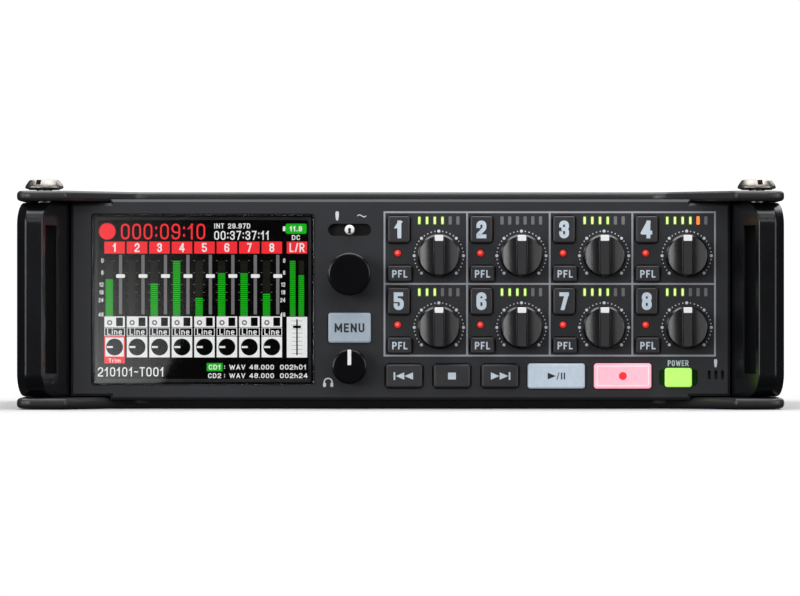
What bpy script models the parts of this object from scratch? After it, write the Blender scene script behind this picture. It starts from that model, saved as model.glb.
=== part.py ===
"""Portable eight-input field recorder, modelled as separate solids in metres.

The front faces -Y, +X is to the right of someone facing it, +Z is up, and the underside rests on z = 0.
"""

import math

import bmesh
import bpy
from mathutils import Matrix

MM = 0.001
GAP = 0.3 * MM  # clearance between pieces that touch

# Overall size
WIDTH = 178.2 * MM
DEPTH = 140.0 * MM
COVER_TO_COVER = 50.5 * MM
FRONT = -DEPTH / 2
BACK = DEPTH / 2
MID_Z = COVER_TO_COVER / 2

# Cover plates
COVER_THICK = 2.4 * MM
COVER_FRONT = FRONT + 22.0 * MM  # the straight front edge between the ears
COVER_BACK = 62.0 * MM
EAR_INNER_X = 77.7 * MM
EAR_ROOT_X = 61.2 * MM
EAR_CORNER_R = 3.5 * MM
EAR_FILLET_R = 5.0 * MM
REAR_CORNER_R = 5.0 * MM
COVER_EDGE_ROUND = 0.9 * MM
SINK_R = 2.8 * MM
SINK_DEPTH = 1.6 * MM
BOSS_X = 81.0 * MM
BOSS_Y = (-42.0 * MM, 55.0 * MM)
BOSS_HEIGHT = 4.9 * MM

# Front panel
PANEL_FACE = FRONT + 12.0 * MM
PANEL_BACK = COVER_FRONT - 0.4 * MM
PANEL_WALL = 3.0 * MM
PANEL_HALF_W = 77.0 * MM
PANEL_HALF_H = MID_Z - COVER_THICK - GAP
PANEL_LIP_HALF_W = 67.7 * MM  # at the face; its ends slant back beside the ears
PANEL_LIP_BACK_HALF_W = 58.3 * MM
PANEL_LIP_HALF_H = 23.4 * MM
PANEL_CHAMFER = 0.6 * MM
PANEL_POCKET_HALF_W = 74.5 * MM
PANEL_POCKET_HALF_H = 21.6 * MM

# Chassis
CHASSIS_HALF_W = 87.0 * MM
CHASSIS_WALL = 1.6 * MM
CHASSIS_FRONT = FRONT + 17.3 * MM
CHASSIS_BACK = COVER_BACK - 1.0 * MM
BULKHEAD_FRONT = COVER_FRONT
CHASSIS_LOW = COVER_THICK + GAP
CHASSIS_HIGH = COVER_TO_COVER - COVER_THICK - GAP

# Handles
HANDLE_INNER_FRONT_X = 83.06 * MM
HANDLE_INNER_X = PANEL_HALF_W + 0.4 * MM
HANDLE_BACK = CHASSIS_FRONT - GAP
HANDLE_SHOULDER_R = 5.15 * MM
STRAP_SLOT_HALF_H = 17.25 * MM
SCREW_X = 83.05 * MM
SCREW_Y = FRONT + 9.5 * MM
SCREW_SHANK_R = 1.8 * MM
SCREW_HEAD_HEIGHT = 2.65 * MM

# Controls, placed from the middle of the panel (x to the right, z up)
COLUMN_X = -11.9 * MM
TONE_Z = 16.3 * MM
SELECT_Z = 5.85 * MM
MENU_Z = -6.6 * MM
HEADPHONE_Z = -15.6 * MM
WINDOW_X = -46.15 * MM
WINDOW_W = 51.7 * MM
WINDOW_H = 39.6 * MM
GRID_LEFT = -3.75 * MM
GRID_TOP = 20.4 * MM
CELL_W = 19.3 * MM
CELL_H = 16.75 * MM
CHANNEL_COLUMNS = 4
CHANNEL_ROWS = 2
NUMBER_KEY = (3.33 * MM, -4.03 * MM, 5.15 * MM, 6.3 * MM)  # x, z in the cell, width, height
PFL_KEY = (3.58 * MM, -14.4 * MM, 5.7 * MM, 3.8 * MM)
GAIN_KNOB = (12.7 * MM, -10.16 * MM)
TRANSPORT_Z = -17.85 * MM
SMALL_TRANSPORT = (8.6 * MM, 5.5 * MM)
LARGE_TRANSPORT = (13.3 * MM, 5.8 * MM)
POWER_X = 64.85 * MM
POWER_Z = -18.2 * MM
POWER_SLOT_X = 64.9 * MM
SLATE_SLOTS_X = (72.1 * MM, 73.65 * MM, 75.2 * MM)
SLATE_Z = -17.6 * MM

KEY_RISE = 1.1 * MM
KEY_EDGE = 0.35 * MM
KEY_TRAVEL = 0.6 * MM
KEY_FLANGE = 0.5 * MM
KEY_FLANGE_THICK = 0.8 * MM
KNOB_HEIGHT = 6.5 * MM
STEM_R = 2.5 * MM
STEM_DEPTH = 4.6 * MM
SHAFT_R = 3.0 * MM

# Screen and circuit boards
SCREEN_W = 48.6 * MM
SCREEN_H = 36.6 * MM
BOARD_FACE = PANEL_FACE + 5.6 * MM
BOARD_THICK = 1.6 * MM
BOARD_POST_X = 54.0 * MM
BOARD_POST_Y = (-38.0 * MM, -2.0 * MM)
BOARD_POST_TOP = 7.7 * MM

# Side and rear connectors
JACK_PITCH = 23.6 * MM
JACK_LAST_Y = 47.4 * MM
JACKS_PER_SIDE = 4
JACK_FLANGE = (23.0 * MM, 29.5 * MM)
FLANGE_THICK = 1.5 * MM
FLANGE_FACE = CHASSIS_HALF_W + GAP + FLANGE_THICK
JACK_BARREL_R = 10.75 * MM
JACK_DEPTH = 21.5 * MM
PHONE_HOLE_R = 3.3 * MM
PHONE_HOLE_DEPTH = 18.0 * MM
SIDE_BAY_Y = -40.75 * MM
SIDE_BAY_W = 10.2 * MM
SIDE_BAY_H = 34.0 * MM

# Battery sled
SLED_X = -30.5 * MM
SLED_W = 61.0 * MM
SLED_H = 31.5 * MM
SLED_FRONT = 3.5 * MM
SLED_WALL = 1.5 * MM

# Rear connector block
REAR_X = 34.0 * MM
REAR_W = 54.0 * MM
REAR_H = 34.0 * MM
REAR_COLUMN = 16.0 * MM
REAR_ROW = 8.0 * MM

ROUND = 28  # sides of a knob
SMALL_ROUND = 16  # sides of a jack, shaft or small hole

COLOURS = {
    "cover_black": ((0.012, 0.012, 0.014), 0.42, 0.6),
    "panel_charcoal": ((0.034, 0.036, 0.040), 0.55, 0.0),
    "handle_black": ((0.014, 0.014, 0.016), 0.45, 0.0),
    "key_grey": ((0.030, 0.031, 0.034), 0.50, 0.0),
    "knob_black": ((0.008, 0.008, 0.009), 0.38, 0.0),
    "screw_nickel": ((0.60, 0.57, 0.52), 0.28, 1.0),
    "lit_blue_grey": ((0.47, 0.55, 0.64), 0.40, 0.0),
    "lit_pink": ((0.90, 0.42, 0.45), 0.40, 0.0),
    "lit_green": ((0.33, 0.85, 0.10), 0.40, 0.0),
    "stub_white": ((0.80, 0.80, 0.78), 0.40, 0.0),
    "window_glass": ((0.010, 0.010, 0.012), 0.06, 0.0),
    "screen_black": ((0.010, 0.010, 0.010), 0.30, 0.0),
    "board_green": ((0.015, 0.090, 0.040), 0.50, 0.0),
    "chassis_black": ((0.020, 0.020, 0.022), 0.50, 0.7),
    "jack_black": ((0.012, 0.012, 0.012), 0.45, 0.0),
    "rear_black": ((0.018, 0.018, 0.018), 0.45, 0.0),
    "sled_black": ((0.022, 0.022, 0.022), 0.55, 0.0),
}


def clear_scene():
    """Remove every object that the file opened with."""
    for item in list(bpy.data.objects):
        bpy.data.objects.remove(item, do_unlink=True)


def material(name):
    """The named plain material, made once."""
    found = bpy.data.materials.get(name)
    if found:
        return found
    colour, roughness, metallic = COLOURS[name]
    made = bpy.data.materials.new(name)
    made.use_nodes = True
    shader = made.node_tree.nodes["Principled BSDF"]
    shader.inputs["Base Color"].default_value = (*colour, 1.0)
    shader.inputs["Roughness"].default_value = roughness
    shader.inputs["Metallic"].default_value = metallic
    return made


# Outlines: lists of (u, v) points, counterclockwise


def circle(radius, count, u=0.0, v=0.0):
    """A circle whose points pair up with those of a rounded rectangle of the same count."""
    turns = [(k + 0.5) * 2 * math.pi / count for k in range(count)]
    return [(u + radius * math.cos(turn), v + radius * math.sin(turn)) for turn in turns]


def arc(u, v, radius, start, end, steps):
    """Points along an arc, from one angle to the other, in degrees."""
    turns = [math.radians(start + (end - start) * k / steps) for k in range(steps + 1)]
    return [(u + radius * math.cos(turn), v + radius * math.sin(turn)) for turn in turns]


def rounded_rect(width, height, radius, steps=2, u=0.0, v=0.0):
    """A rectangle about (u, v) with round corners."""
    across, up = width / 2 - radius, height / 2 - radius
    corners = ((across, up), (-across, up), (-across, -up), (across, -up))
    points = []
    for quarter, (cu, cv) in enumerate(corners):
        points += arc(u + cu, v + cv, radius, 90 * quarter, 90 * quarter + 90, steps)
    return points


# Solids: closed bmeshes


def skin(rings):
    """A closed shape through rings of points, capped at its first and last ring."""
    shape = bmesh.new()
    loops = [[shape.verts.new(point) for point in ring] for ring in rings]
    for near, far in zip(loops, loops[1:]):
        for k in range(len(near)):
            j = (k + 1) % len(near)
            shape.faces.new((near[k], near[j], far[j], far[k]))
    shape.faces.new(loops[0][::-1])
    shape.faces.new(loops[-1])
    bmesh.ops.recalc_face_normals(shape, faces=shape.faces)
    return shape


def along_y(*sections):
    """A shape through (outline, y) sections, with each outline in x and z."""
    return skin([[(u, y, v) for u, v in outline] for outline, y in sections])


def along_z(*sections):
    """A shape through (outline, z) sections, with each outline in x and y."""
    return skin([[(u, v, z) for u, v in outline] for outline, z in sections])


def block(low, high):
    """A plain box between two corners."""
    x0, y0, z0 = low
    x1, y1, z1 = high
    outline = [(x0, y0), (x1, y0), (x1, y1), (x0, y1)]
    return along_z((outline, z0), (outline, z1))


def moved(shape, x=0.0, y=0.0, z=0.0):
    """The shape, shifted."""
    bmesh.ops.translate(shape, vec=(x, y, z), verts=shape.verts)
    return shape


def bundle(shapes):
    """Several shapes that don't touch each other, as one."""
    whole = bmesh.new()
    for shape in shapes:
        part = bpy.data.meshes.new("part")
        shape.to_mesh(part)
        shape.free()
        whole.from_mesh(part)
        bpy.data.meshes.remove(part)
    return whole


def as_mesh(shape, name):
    """The shape as mesh data."""
    mesh = bpy.data.meshes.new(name)
    shape.to_mesh(mesh)
    shape.free()
    return mesh


def combine(shape, tool, operation):
    """The Boolean of two shapes, as a new shape."""
    base = bpy.data.objects.new("base", as_mesh(shape, "base"))
    other = bpy.data.objects.new("tool", as_mesh(tool, "tool"))
    other.display_type = "WIRE"
    other.hide_render = True
    for item in (base, other):
        bpy.context.scene.collection.objects.link(item)
    step = base.modifiers.new("combine", "BOOLEAN")
    step.operation = operation
    step.solver = "EXACT"
    step.object = other
    graph = bpy.context.evaluated_depsgraph_get()
    result = bmesh.new()
    result.from_mesh(base.evaluated_get(graph).data)
    for item in (base, other):
        bpy.data.objects.remove(item, do_unlink=True)
    return result


def cut(shape, *tools):
    """The shape less its tools, which don't touch each other."""
    return combine(shape, bundle(tools), "DIFFERENCE")


def joined(shape, *tools):
    """The shape with its tools, which don't touch each other, fused on."""
    return combine(shape, bundle(tools), "UNION")


def place(name, mesh, finish, x=0.0, y=0.0, z=0.0, turn=0.0):
    """A named object, turned about Z by whole degrees, with smooth round faces."""
    if not mesh.materials:
        mesh.materials.append(material(finish))
    mesh.shade_smooth()
    mesh.set_sharp_from_angle(angle=math.radians(35))
    item = bpy.data.objects.new(name, mesh)
    item.location = (x, y, z)
    item.rotation_euler = (0.0, 0.0, math.radians(turn))
    bpy.context.scene.collection.objects.link(item)
    return item


def on_panel(name, mesh, finish, x, z):
    """An object whose origin lies on the panel face, at x and z from its middle."""
    return place(name, mesh, finish, x, PANEL_FACE, MID_Z + z)


# Covers


def cover_outline():
    """Plan of a cover plate, with an ear at each front corner."""
    slope = math.hypot(EAR_INNER_X - EAR_ROOT_X, COVER_FRONT - FRONT)
    lean = math.degrees(math.asin((COVER_FRONT - FRONT) / slope))
    reach = EAR_FILLET_R * math.tan(math.radians(lean / 2))
    half = WIDTH / 2
    right = arc(EAR_ROOT_X - reach, COVER_FRONT - EAR_FILLET_R, EAR_FILLET_R, 90, 90 - lean, 4)
    right.append((EAR_INNER_X, FRONT))
    right += arc(half - EAR_CORNER_R, FRONT + EAR_CORNER_R, EAR_CORNER_R, -90, 0, 4)
    right += arc(half - REAR_CORNER_R, COVER_BACK - REAR_CORNER_R, REAR_CORNER_R, 0, 90, 4)
    left = [(-x, y) for x, y in reversed(right)]
    return right + left


def cover_plate(outer_z, inner_z):
    """A cover plate with rounded edges."""
    shape = along_z((cover_outline(), inner_z), (cover_outline(), outer_z))
    rim = [edge for edge in shape.edges if edge.verts[0].co.z == edge.verts[1].co.z]
    bmesh.ops.bevel(
        shape, geom=rim, offset=COVER_EDGE_ROUND, segments=2, profile=0.5, affect="EDGES"
    )
    return shape


def cover_screw_places():
    """(x, y) of the countersunk screws that hold a cover to the chassis."""
    return [(side * BOSS_X, y) for side in (-1, 1) for y in BOSS_Y]


def countersink(x, y, face, inward):
    """A cutter for a flush screw head, from the face into the plate; inward is 1 up or -1 down."""
    levels = ((SINK_R + 0.5 * MM, -0.5 * MM), (SINK_R - SINK_DEPTH, SINK_DEPTH))
    return along_z(*[(circle(radius, 12, x, y), face + inward * depth) for radius, depth in levels])


def top_cover():
    """The top plate, with a hole for each handle screw and a seat for each cover screw."""
    shape = cover_plate(COVER_TO_COVER, COVER_TO_COVER - COVER_THICK)
    holes = []
    for side in (-1, 1):
        hole = circle(SCREW_SHANK_R + GAP, 12, side * SCREW_X, SCREW_Y)
        holes.append(along_z((hole, CHASSIS_HIGH - MM), (hole, COVER_TO_COVER + MM)))
    sinks = [countersink(x, y, COVER_TO_COVER, -1) for x, y in cover_screw_places()]
    shape = cut(shape, *holes, *sinks)
    place("top_cover", as_mesh(shape, "top_cover"), "cover_black")


def bottom_cover():
    """The bottom plate with four posts for the main board."""
    posts = []
    for x in (-BOARD_POST_X, BOARD_POST_X):
        for y in BOARD_POST_Y:
            post = circle(3.0 * MM, 12, x, y)
            posts.append(along_z((post, COVER_THICK / 2), (post, BOARD_POST_TOP)))
    places = cover_screw_places() + [(-SCREW_X, SCREW_Y), (SCREW_X, SCREW_Y)]
    sinks = [countersink(x, y, 0.0, 1) for x, y in places]
    shape = cut(joined(cover_plate(0.0, COVER_THICK), *posts), *sinks)
    place("bottom_cover", as_mesh(shape, "bottom_cover"), "cover_black")


# Chassis


def chassis():
    """Side walls, rear wall and a front bulkhead, open at the top and bottom."""
    low, high = CHASSIS_LOW, CHASSIS_HIGH
    outer, inner = CHASSIS_HALF_W, CHASSIS_HALF_W - CHASSIS_WALL
    over = 2 * MM
    shape = block((-outer, CHASSIS_FRONT, low), (outer, CHASSIS_BACK, high))
    room = block(
        (-inner, BULKHEAD_FRONT + CHASSIS_WALL, low - over),
        (inner, CHASSIS_BACK - CHASSIS_WALL, high + over),
    )
    pocket = block((-inner, CHASSIS_FRONT - over, low - over), (inner, BULKHEAD_FRONT, high + over))
    shape = cut(shape, room, pocket)
    cable_window = block(
        (-70 * MM, BULKHEAD_FRONT - MM, MID_Z - 17 * MM),
        (70 * MM, BULKHEAD_FRONT + CHASSIS_WALL + MM, MID_Z + 17 * MM),
    )
    sled_window = along_y(
        (rounded_rect(SLED_W + MM, SLED_H + MM, MM, 1, SLED_X, MID_Z), CHASSIS_BACK - 3 * MM),
        (rounded_rect(SLED_W + MM, SLED_H + MM, MM, 1, SLED_X, MID_Z), CHASSIS_BACK + MM),
    )
    rear_window = along_y(
        (rounded_rect(REAR_W - 6 * MM, REAR_H - 6 * MM, MM, 1, REAR_X, MID_Z), CHASSIS_BACK - 3 * MM),
        (rounded_rect(REAR_W - 6 * MM, REAR_H - 6 * MM, MM, 1, REAR_X, MID_Z), CHASSIS_BACK + MM),
    )
    side_windows = []
    for turn in (-90, 90):
        for y in jack_places():
            side_windows.append(side_tool(circle(JACK_BARREL_R + GAP, SMALL_ROUND), y, turn))
        bay = rounded_rect(SIDE_BAY_W - 2 * MM, SIDE_BAY_H - 4 * MM, MM, 1)
        side_windows.append(side_tool(bay, SIDE_BAY_Y, turn))
    shape = cut(shape, cable_window, sled_window, rear_window, *side_windows)
    shape = joined(shape, *corner_bosses())
    place("chassis", as_mesh(shape, "chassis"), "chassis_black")


def corner_bosses():
    """Blocks in the chassis corners that take the cover screws."""
    reach, slack = 3.6 * MM, 0.1 * MM
    bosses = []
    for side in (-1, 1):
        for y, front, back in zip(BOSS_Y, (-reach - 1.5 * MM, -reach), (reach, reach + 1.6 * MM)):
            near, far = side * (BOSS_X - reach), side * (CHASSIS_HALF_W - CHASSIS_WALL / 2)
            for low, high in (
                (CHASSIS_LOW + slack, CHASSIS_LOW + BOSS_HEIGHT),
                (CHASSIS_HIGH - BOSS_HEIGHT, CHASSIS_HIGH - slack),
            ):
                corners = (min(near, far), y + front, low), (max(near, far), y + back, high)
                bosses.append(block(*corners))
    return bosses


def side_tool(outline, y, turn):
    """A cutter through one side wall, centred at y and half height."""
    shape = along_y((outline, -CHASSIS_HALF_W - MM), (outline, -CHASSIS_HALF_W + 3 * MM))
    about_z = Matrix.Rotation(math.radians(turn), 3, "Z")
    bmesh.ops.rotate(shape, cent=(0, 0, 0), matrix=about_z, verts=shape.verts)
    return moved(shape, 0.0, y, MID_Z)


def jack_places():
    """The y of each input jack on one side, front to back."""
    return [JACK_LAST_Y - JACK_PITCH * (JACKS_PER_SIDE - 1 - k) for k in range(JACKS_PER_SIDE)]


# Front panel


def panel_outline(lip_half_width, inset=0.0):
    """Front view of the panel: its middle is a little taller than its ends."""
    wide, tall = PANEL_HALF_W - inset, PANEL_HALF_H - inset
    lip_wide, lip_tall = lip_half_width - inset, PANEL_LIP_HALF_H - inset
    right = [(lip_wide, -lip_tall), (lip_wide, -tall), (wide, -tall)]
    right += [(wide, tall), (lip_wide, tall), (lip_wide, lip_tall)]
    return right + [(-x, z) for x, z in reversed(right)]


def slanted_lip(depth):
    """Half width of the panel's taller middle at a depth, clear of the ears' slanted edges."""
    slope = (EAR_INNER_X - EAR_ROOT_X) / (COVER_FRONT - FRONT)
    return EAR_ROOT_X + slope * (COVER_FRONT - PANEL_FACE - depth) - 2 * GAP


def panel_hole(outline):
    """A cutter through the panel's front wall."""
    return along_y((outline, -MM), (outline, PANEL_WALL + MM))


def front_panel():
    """The front moulding: a wall with an aperture for each control, and a rim behind it."""
    depth = PANEL_BACK - PANEL_FACE
    slant_end = depth - 1.6 * MM
    shape = along_y(
        (panel_outline(PANEL_LIP_HALF_W, PANEL_CHAMFER), 0.0),
        (panel_outline(PANEL_LIP_HALF_W), PANEL_CHAMFER),
        (panel_outline(slanted_lip(slant_end)), slant_end),
        (panel_outline(slanted_lip(slant_end) - 1.3 * MM), depth - 0.6 * MM),
        (panel_outline(PANEL_LIP_BACK_HALF_W), depth),
    )
    pocket = block(
        (-PANEL_POCKET_HALF_W, PANEL_WALL, -PANEL_POCKET_HALF_H),
        (PANEL_POCKET_HALF_W, depth + MM, PANEL_POCKET_HALF_H),
    )
    shape = cut(shape, pocket)
    window = along_y(
        (rounded_rect(WINDOW_W + 2 * GAP, WINDOW_H + 2 * GAP, 0.6 * MM, 1, WINDOW_X), -MM),
        (rounded_rect(WINDOW_W + 2 * GAP, WINDOW_H + 2 * GAP, 0.6 * MM, 1, WINDOW_X), 1.5 * MM),
        (rounded_rect(SCREEN_W + 2 * GAP, SCREEN_H + 2 * GAP, 0.3 * MM, 1, WINDOW_X), 1.5 * MM),
        (rounded_rect(SCREEN_W + 2 * GAP, SCREEN_H + 2 * GAP, 0.3 * MM, 1, WINDOW_X), PANEL_WALL + MM),
    )
    tools = [window]
    for x, z, width, height in key_places().values():
        tools.append(panel_hole(rounded_rect(width + 2 * GAP, height + 2 * GAP, 0.9 * MM, 1, x, z)))
    for x, z in knob_places().values():
        tools.append(panel_hole(circle(STEM_R + GAP, SMALL_ROUND, x, z)))
    tools.append(panel_hole(circle(SHAFT_R + GAP, SMALL_ROUND, COLUMN_X, SELECT_Z)))
    tools.append(panel_hole(rounded_rect(10.1 * MM, 2.9 * MM, 1.4 * MM, 3, COLUMN_X, TONE_Z)))
    tools.append(panel_hole(rounded_rect(9.0 * MM, 3.7 * MM, 0.5 * MM, 1, POWER_SLOT_X, POWER_Z)))
    for x in SLATE_SLOTS_X:
        slot = rounded_rect(0.7 * MM, 2.2 * MM, 0.3 * MM, 1, x, SLATE_Z)
        tools.append(along_y((slot, -MM), (slot, 1.2 * MM)))
    shape = cut(shape, *tools)
    on_panel("front_panel", as_mesh(shape, "front_panel"), "panel_charcoal", 0.0, 0.0)


# Handles


def slanted_x(y):
    """Where the handle's slanted inner wall is at depth y."""
    share = (PANEL_FACE - y) / (PANEL_FACE - FRONT)
    return HANDLE_INNER_X + share * (HANDLE_INNER_FRONT_X - HANDLE_INNER_X)


def handle_plan(recess):
    """Plan of the right handle where its front face lies back by recess."""
    face = FRONT + recess
    points = [(slanted_x(face), face)]
    points += arc(WIDTH / 2 - EAR_CORNER_R, face + EAR_CORNER_R, EAR_CORNER_R, -90, 0, 4)
    points += [(WIDTH / 2, HANDLE_BACK), (HANDLE_INNER_X, HANDLE_BACK), (HANDLE_INNER_X, PANEL_FACE)]
    return points


def handle_levels():
    """(recess, z) of each plan section: flat in the middle, with round shoulders at both ends."""
    flat = PANEL_HALF_H - HANDLE_SHOULDER_R
    upper = [
        (HANDLE_SHOULDER_R * (1 - math.cos(turn)), flat + HANDLE_SHOULDER_R * math.sin(turn))
        for turn in [math.radians(22.5 * k) for k in range(5)]
    ]
    lower = [(recess, -z) for recess, z in reversed(upper)]
    return [(recess, MID_Z + z) for recess, z in lower + upper]


def strap_slot():
    """The space for a strap, from the slanted inner wall to the outer side."""
    mouth_front = (82.4 * MM, slanted_y(82.4 * MM))
    mouth_back = (79.8 * MM, slanted_y(79.8 * MM))
    points = [
        (mouth_front[0] - 1.36 * MM, mouth_front[1] - 0.64 * MM),
        mouth_front,
        (84.6 * MM, FRONT + 4.9 * MM),
        (WIDTH / 2 + MM, FRONT + 5.9 * MM),
        (WIDTH / 2 + MM, FRONT + 12.8 * MM),
        (80.6 * MM, FRONT + 12.8 * MM),
        (80.6 * MM, FRONT + 8.5 * MM),
        mouth_back,
        (mouth_back[0] - 1.36 * MM, mouth_back[1] - 0.64 * MM),
    ]
    return along_z((points, MID_Z - STRAP_SLOT_HALF_H), (points, MID_Z + STRAP_SLOT_HALF_H))


def slanted_y(x):
    """How far back the handle's slanted inner wall is at x."""
    share = (x - HANDLE_INNER_X) / (HANDLE_INNER_FRONT_X - HANDLE_INNER_X)
    return PANEL_FACE - share * (PANEL_FACE - FRONT)


def handle(name, side):
    """One handle; side is 1 for the right and -1 for its mirror image."""
    shape = along_z(*[(handle_plan(recess), z) for recess, z in handle_levels()])
    hole = circle(SCREW_SHANK_R + GAP, 12, SCREW_X, SCREW_Y)
    screw_hole = along_z((hole, CHASSIS_HIGH - 4.2 * MM), (hole, CHASSIS_HIGH + MM))
    shape = cut(shape, strap_slot(), screw_hole)
    for vert in shape.verts:
        vert.co.x *= side
    bmesh.ops.recalc_face_normals(shape, faces=shape.faces)
    place(name, as_mesh(shape, name), "handle_black")


def handle_screw(name, side, turn):
    """A large slotted screw that holds the top cover's ear to the handle, its slot turned."""
    rim = [
        (SCREW_SHANK_R, CHASSIS_HIGH - 3.8 * MM),
        (SCREW_SHANK_R, COVER_TO_COVER + GAP),
        (3.6 * MM, COVER_TO_COVER + GAP),
        (4.5 * MM, COVER_TO_COVER + 0.8 * MM),
        (4.1 * MM, COVER_TO_COVER + 1.8 * MM),
        (3.4 * MM, COVER_TO_COVER + SCREW_HEAD_HEIGHT),
    ]
    shape = along_z(*[(circle(radius, 20), z) for radius, z in rim])
    top = COVER_TO_COVER + SCREW_HEAD_HEIGHT
    slot = block((-0.55 * MM, -5 * MM, top - 1.1 * MM), (0.55 * MM, 5 * MM, top + MM))
    turned_slot = Matrix.Rotation(math.radians(turn), 3, "Z")
    bmesh.ops.rotate(slot, cent=(0, 0, 0), matrix=turned_slot, verts=slot.verts)
    shape = cut(shape, slot)
    place(name, as_mesh(shape, name), "screw_nickel", side * SCREW_X, SCREW_Y, 0.0)


# Controls


def key_places():
    """(x, z, width, height) of each key, from the middle of the panel."""
    places = {}
    for row in range(CHANNEL_ROWS):
        for column in range(CHANNEL_COLUMNS):
            left = GRID_LEFT + CELL_W * column
            top = GRID_TOP - CELL_H * row
            channel = 1 + column + CHANNEL_COLUMNS * row
            for word, (x, z, width, height) in (("channel", NUMBER_KEY), ("pfl", PFL_KEY)):
                places[f"{word}_key_{channel}"] = (left + x, top + z, width, height)
    places["rewind_key"] = (0.82 * MM, TRANSPORT_Z, *SMALL_TRANSPORT)
    places["stop_key"] = (12.0 * MM, TRANSPORT_Z, *SMALL_TRANSPORT)
    places["forward_key"] = (23.2 * MM, TRANSPORT_Z, *SMALL_TRANSPORT)
    places["play_key"] = (36.4 * MM, TRANSPORT_Z, *LARGE_TRANSPORT)
    places["record_key"] = (51.9 * MM, TRANSPORT_Z, *LARGE_TRANSPORT)
    places["menu_key"] = (COLUMN_X, MENU_Z, 9.9 * MM, 6.95 * MM)
    return places


def knob_places():
    """(x, z) of each potentiometer knob, from the middle of the panel."""
    places = {}
    for row in range(CHANNEL_ROWS):
        for column in range(CHANNEL_COLUMNS):
            x = GRID_LEFT + CELL_W * column + GAIN_KNOB[0]
            z = GRID_TOP - CELL_H * row + GAIN_KNOB[1]
            places[f"gain_knob_{1 + column + CHANNEL_COLUMNS * row}"] = (x, z)
    places["headphone_knob"] = (COLUMN_X, HEADPHONE_Z)
    return places


def key_mesh(width, height):
    """A key cap with a flange behind the panel that keeps it from falling out."""
    corner = 0.6 * MM
    flange_front = PANEL_WALL + 1.3 * GAP
    wide, tall = width + 2 * KEY_FLANGE, height + 2 * KEY_FLANGE
    shape = along_y(
        (rounded_rect(width - 2 * KEY_EDGE, height - 2 * KEY_EDGE, corner), -KEY_RISE),
        (rounded_rect(width, height, corner), -KEY_RISE + KEY_EDGE),
        (rounded_rect(width, height, corner), flange_front),
        (rounded_rect(wide, tall, corner), flange_front),
        (rounded_rect(wide, tall, corner), flange_front + KEY_FLANGE_THICK),
    )
    return as_mesh(shape, "key")


def key_finish(name):
    """The finish of the named key."""
    lit = {"play_key": "lit_blue_grey", "menu_key": "lit_blue_grey", "record_key": "lit_pink"}
    return lit.get(name, "key_grey")


def keys():
    for name, (x, z, width, height) in key_places().items():
        on_panel(name, key_mesh(width, height), key_finish(name), x, z)


def gain_knob_mesh():
    """A round knob with a grip ridge between two scooped sides, and its stem."""
    radius, edge = 4.85 * MM, 0.4 * MM
    shape = along_y(
        (circle(radius - edge, ROUND), -KNOB_HEIGHT),
        (circle(radius, ROUND), -KNOB_HEIGHT + edge),
        (circle(radius, ROUND), -1.2 * GAP),
        (circle(STEM_R, ROUND), -1.2 * GAP),
        (circle(STEM_R, ROUND), STEM_DEPTH),
    )
    ridge_half, scoop_r, reach = 1.05 * MM, 4.2 * MM, 6 * MM
    scoops = []
    for side in (-1, 1):
        bowl = circle(scoop_r, 24, side * (ridge_half + scoop_r), -KNOB_HEIGHT)
        scoops.append(along_z((bowl, -reach), (bowl, reach)))
    return as_mesh(cut(shape, *scoops), "gain_knob")


def headphone_knob_mesh():
    """A plain round knob and its stem."""
    radius, edge = 4.05 * MM, 0.4 * MM
    shape = along_y(
        (circle(radius - edge, ROUND), -KNOB_HEIGHT),
        (circle(radius, ROUND), -KNOB_HEIGHT + edge),
        (circle(radius, ROUND), -1.2 * GAP),
        (circle(STEM_R, ROUND), -1.2 * GAP),
        (circle(STEM_R, ROUND), STEM_DEPTH),
    )
    return as_mesh(shape, "headphone_knob")


def potentiometer_knobs():
    gain = gain_knob_mesh()
    for name, (x, z) in knob_places().items():
        mesh = gain if name.startswith("gain") else headphone_knob_mesh()
        on_panel(name, mesh, "knob_black", x, z)


def encoder():
    """The select knob, hollow at the back, on the shaft that turns and pushes with it."""
    radius, edge, height, lift = 5.0 * MM, 0.5 * MM, 9.5 * MM, 0.9 * MM
    bore_r, bore_end = SHAFT_R + GAP, -6.5 * MM
    knob = along_y(
        (circle(radius - edge, ROUND), -height),
        (circle(radius, ROUND), -height + edge),
        (circle(radius, ROUND), -lift),
        (circle(bore_r, ROUND), -lift),
        (circle(bore_r, ROUND), bore_end),
    )
    shaft = along_y((circle(SHAFT_R, ROUND), bore_end + GAP), (circle(SHAFT_R, ROUND), STEM_DEPTH))
    on_panel("select_knob", as_mesh(knob, "select_knob"), "knob_black", COLUMN_X, SELECT_Z)
    on_panel("encoder_shaft", as_mesh(shaft, "encoder_shaft"), "chassis_black", COLUMN_X, SELECT_Z)


def tone_slider():
    """A small round stub on a plate behind the panel."""
    plate_front = PANEL_WALL + 1.3 * GAP
    shape = along_y(
        (circle(0.75 * MM, SMALL_ROUND), -1.2 * MM),
        (circle(1.15 * MM, SMALL_ROUND), -0.8 * MM),
        (circle(1.15 * MM, SMALL_ROUND), plate_front),
        (rounded_rect(8 * MM, 5 * MM, 0.6 * MM, 3), plate_front),
        (rounded_rect(8 * MM, 5 * MM, 0.6 * MM, 3), plate_front + KEY_FLANGE_THICK),
    )
    on_panel("tone_slider", as_mesh(shape, "tone_slider"), "stub_white", COLUMN_X, TONE_Z)


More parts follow.
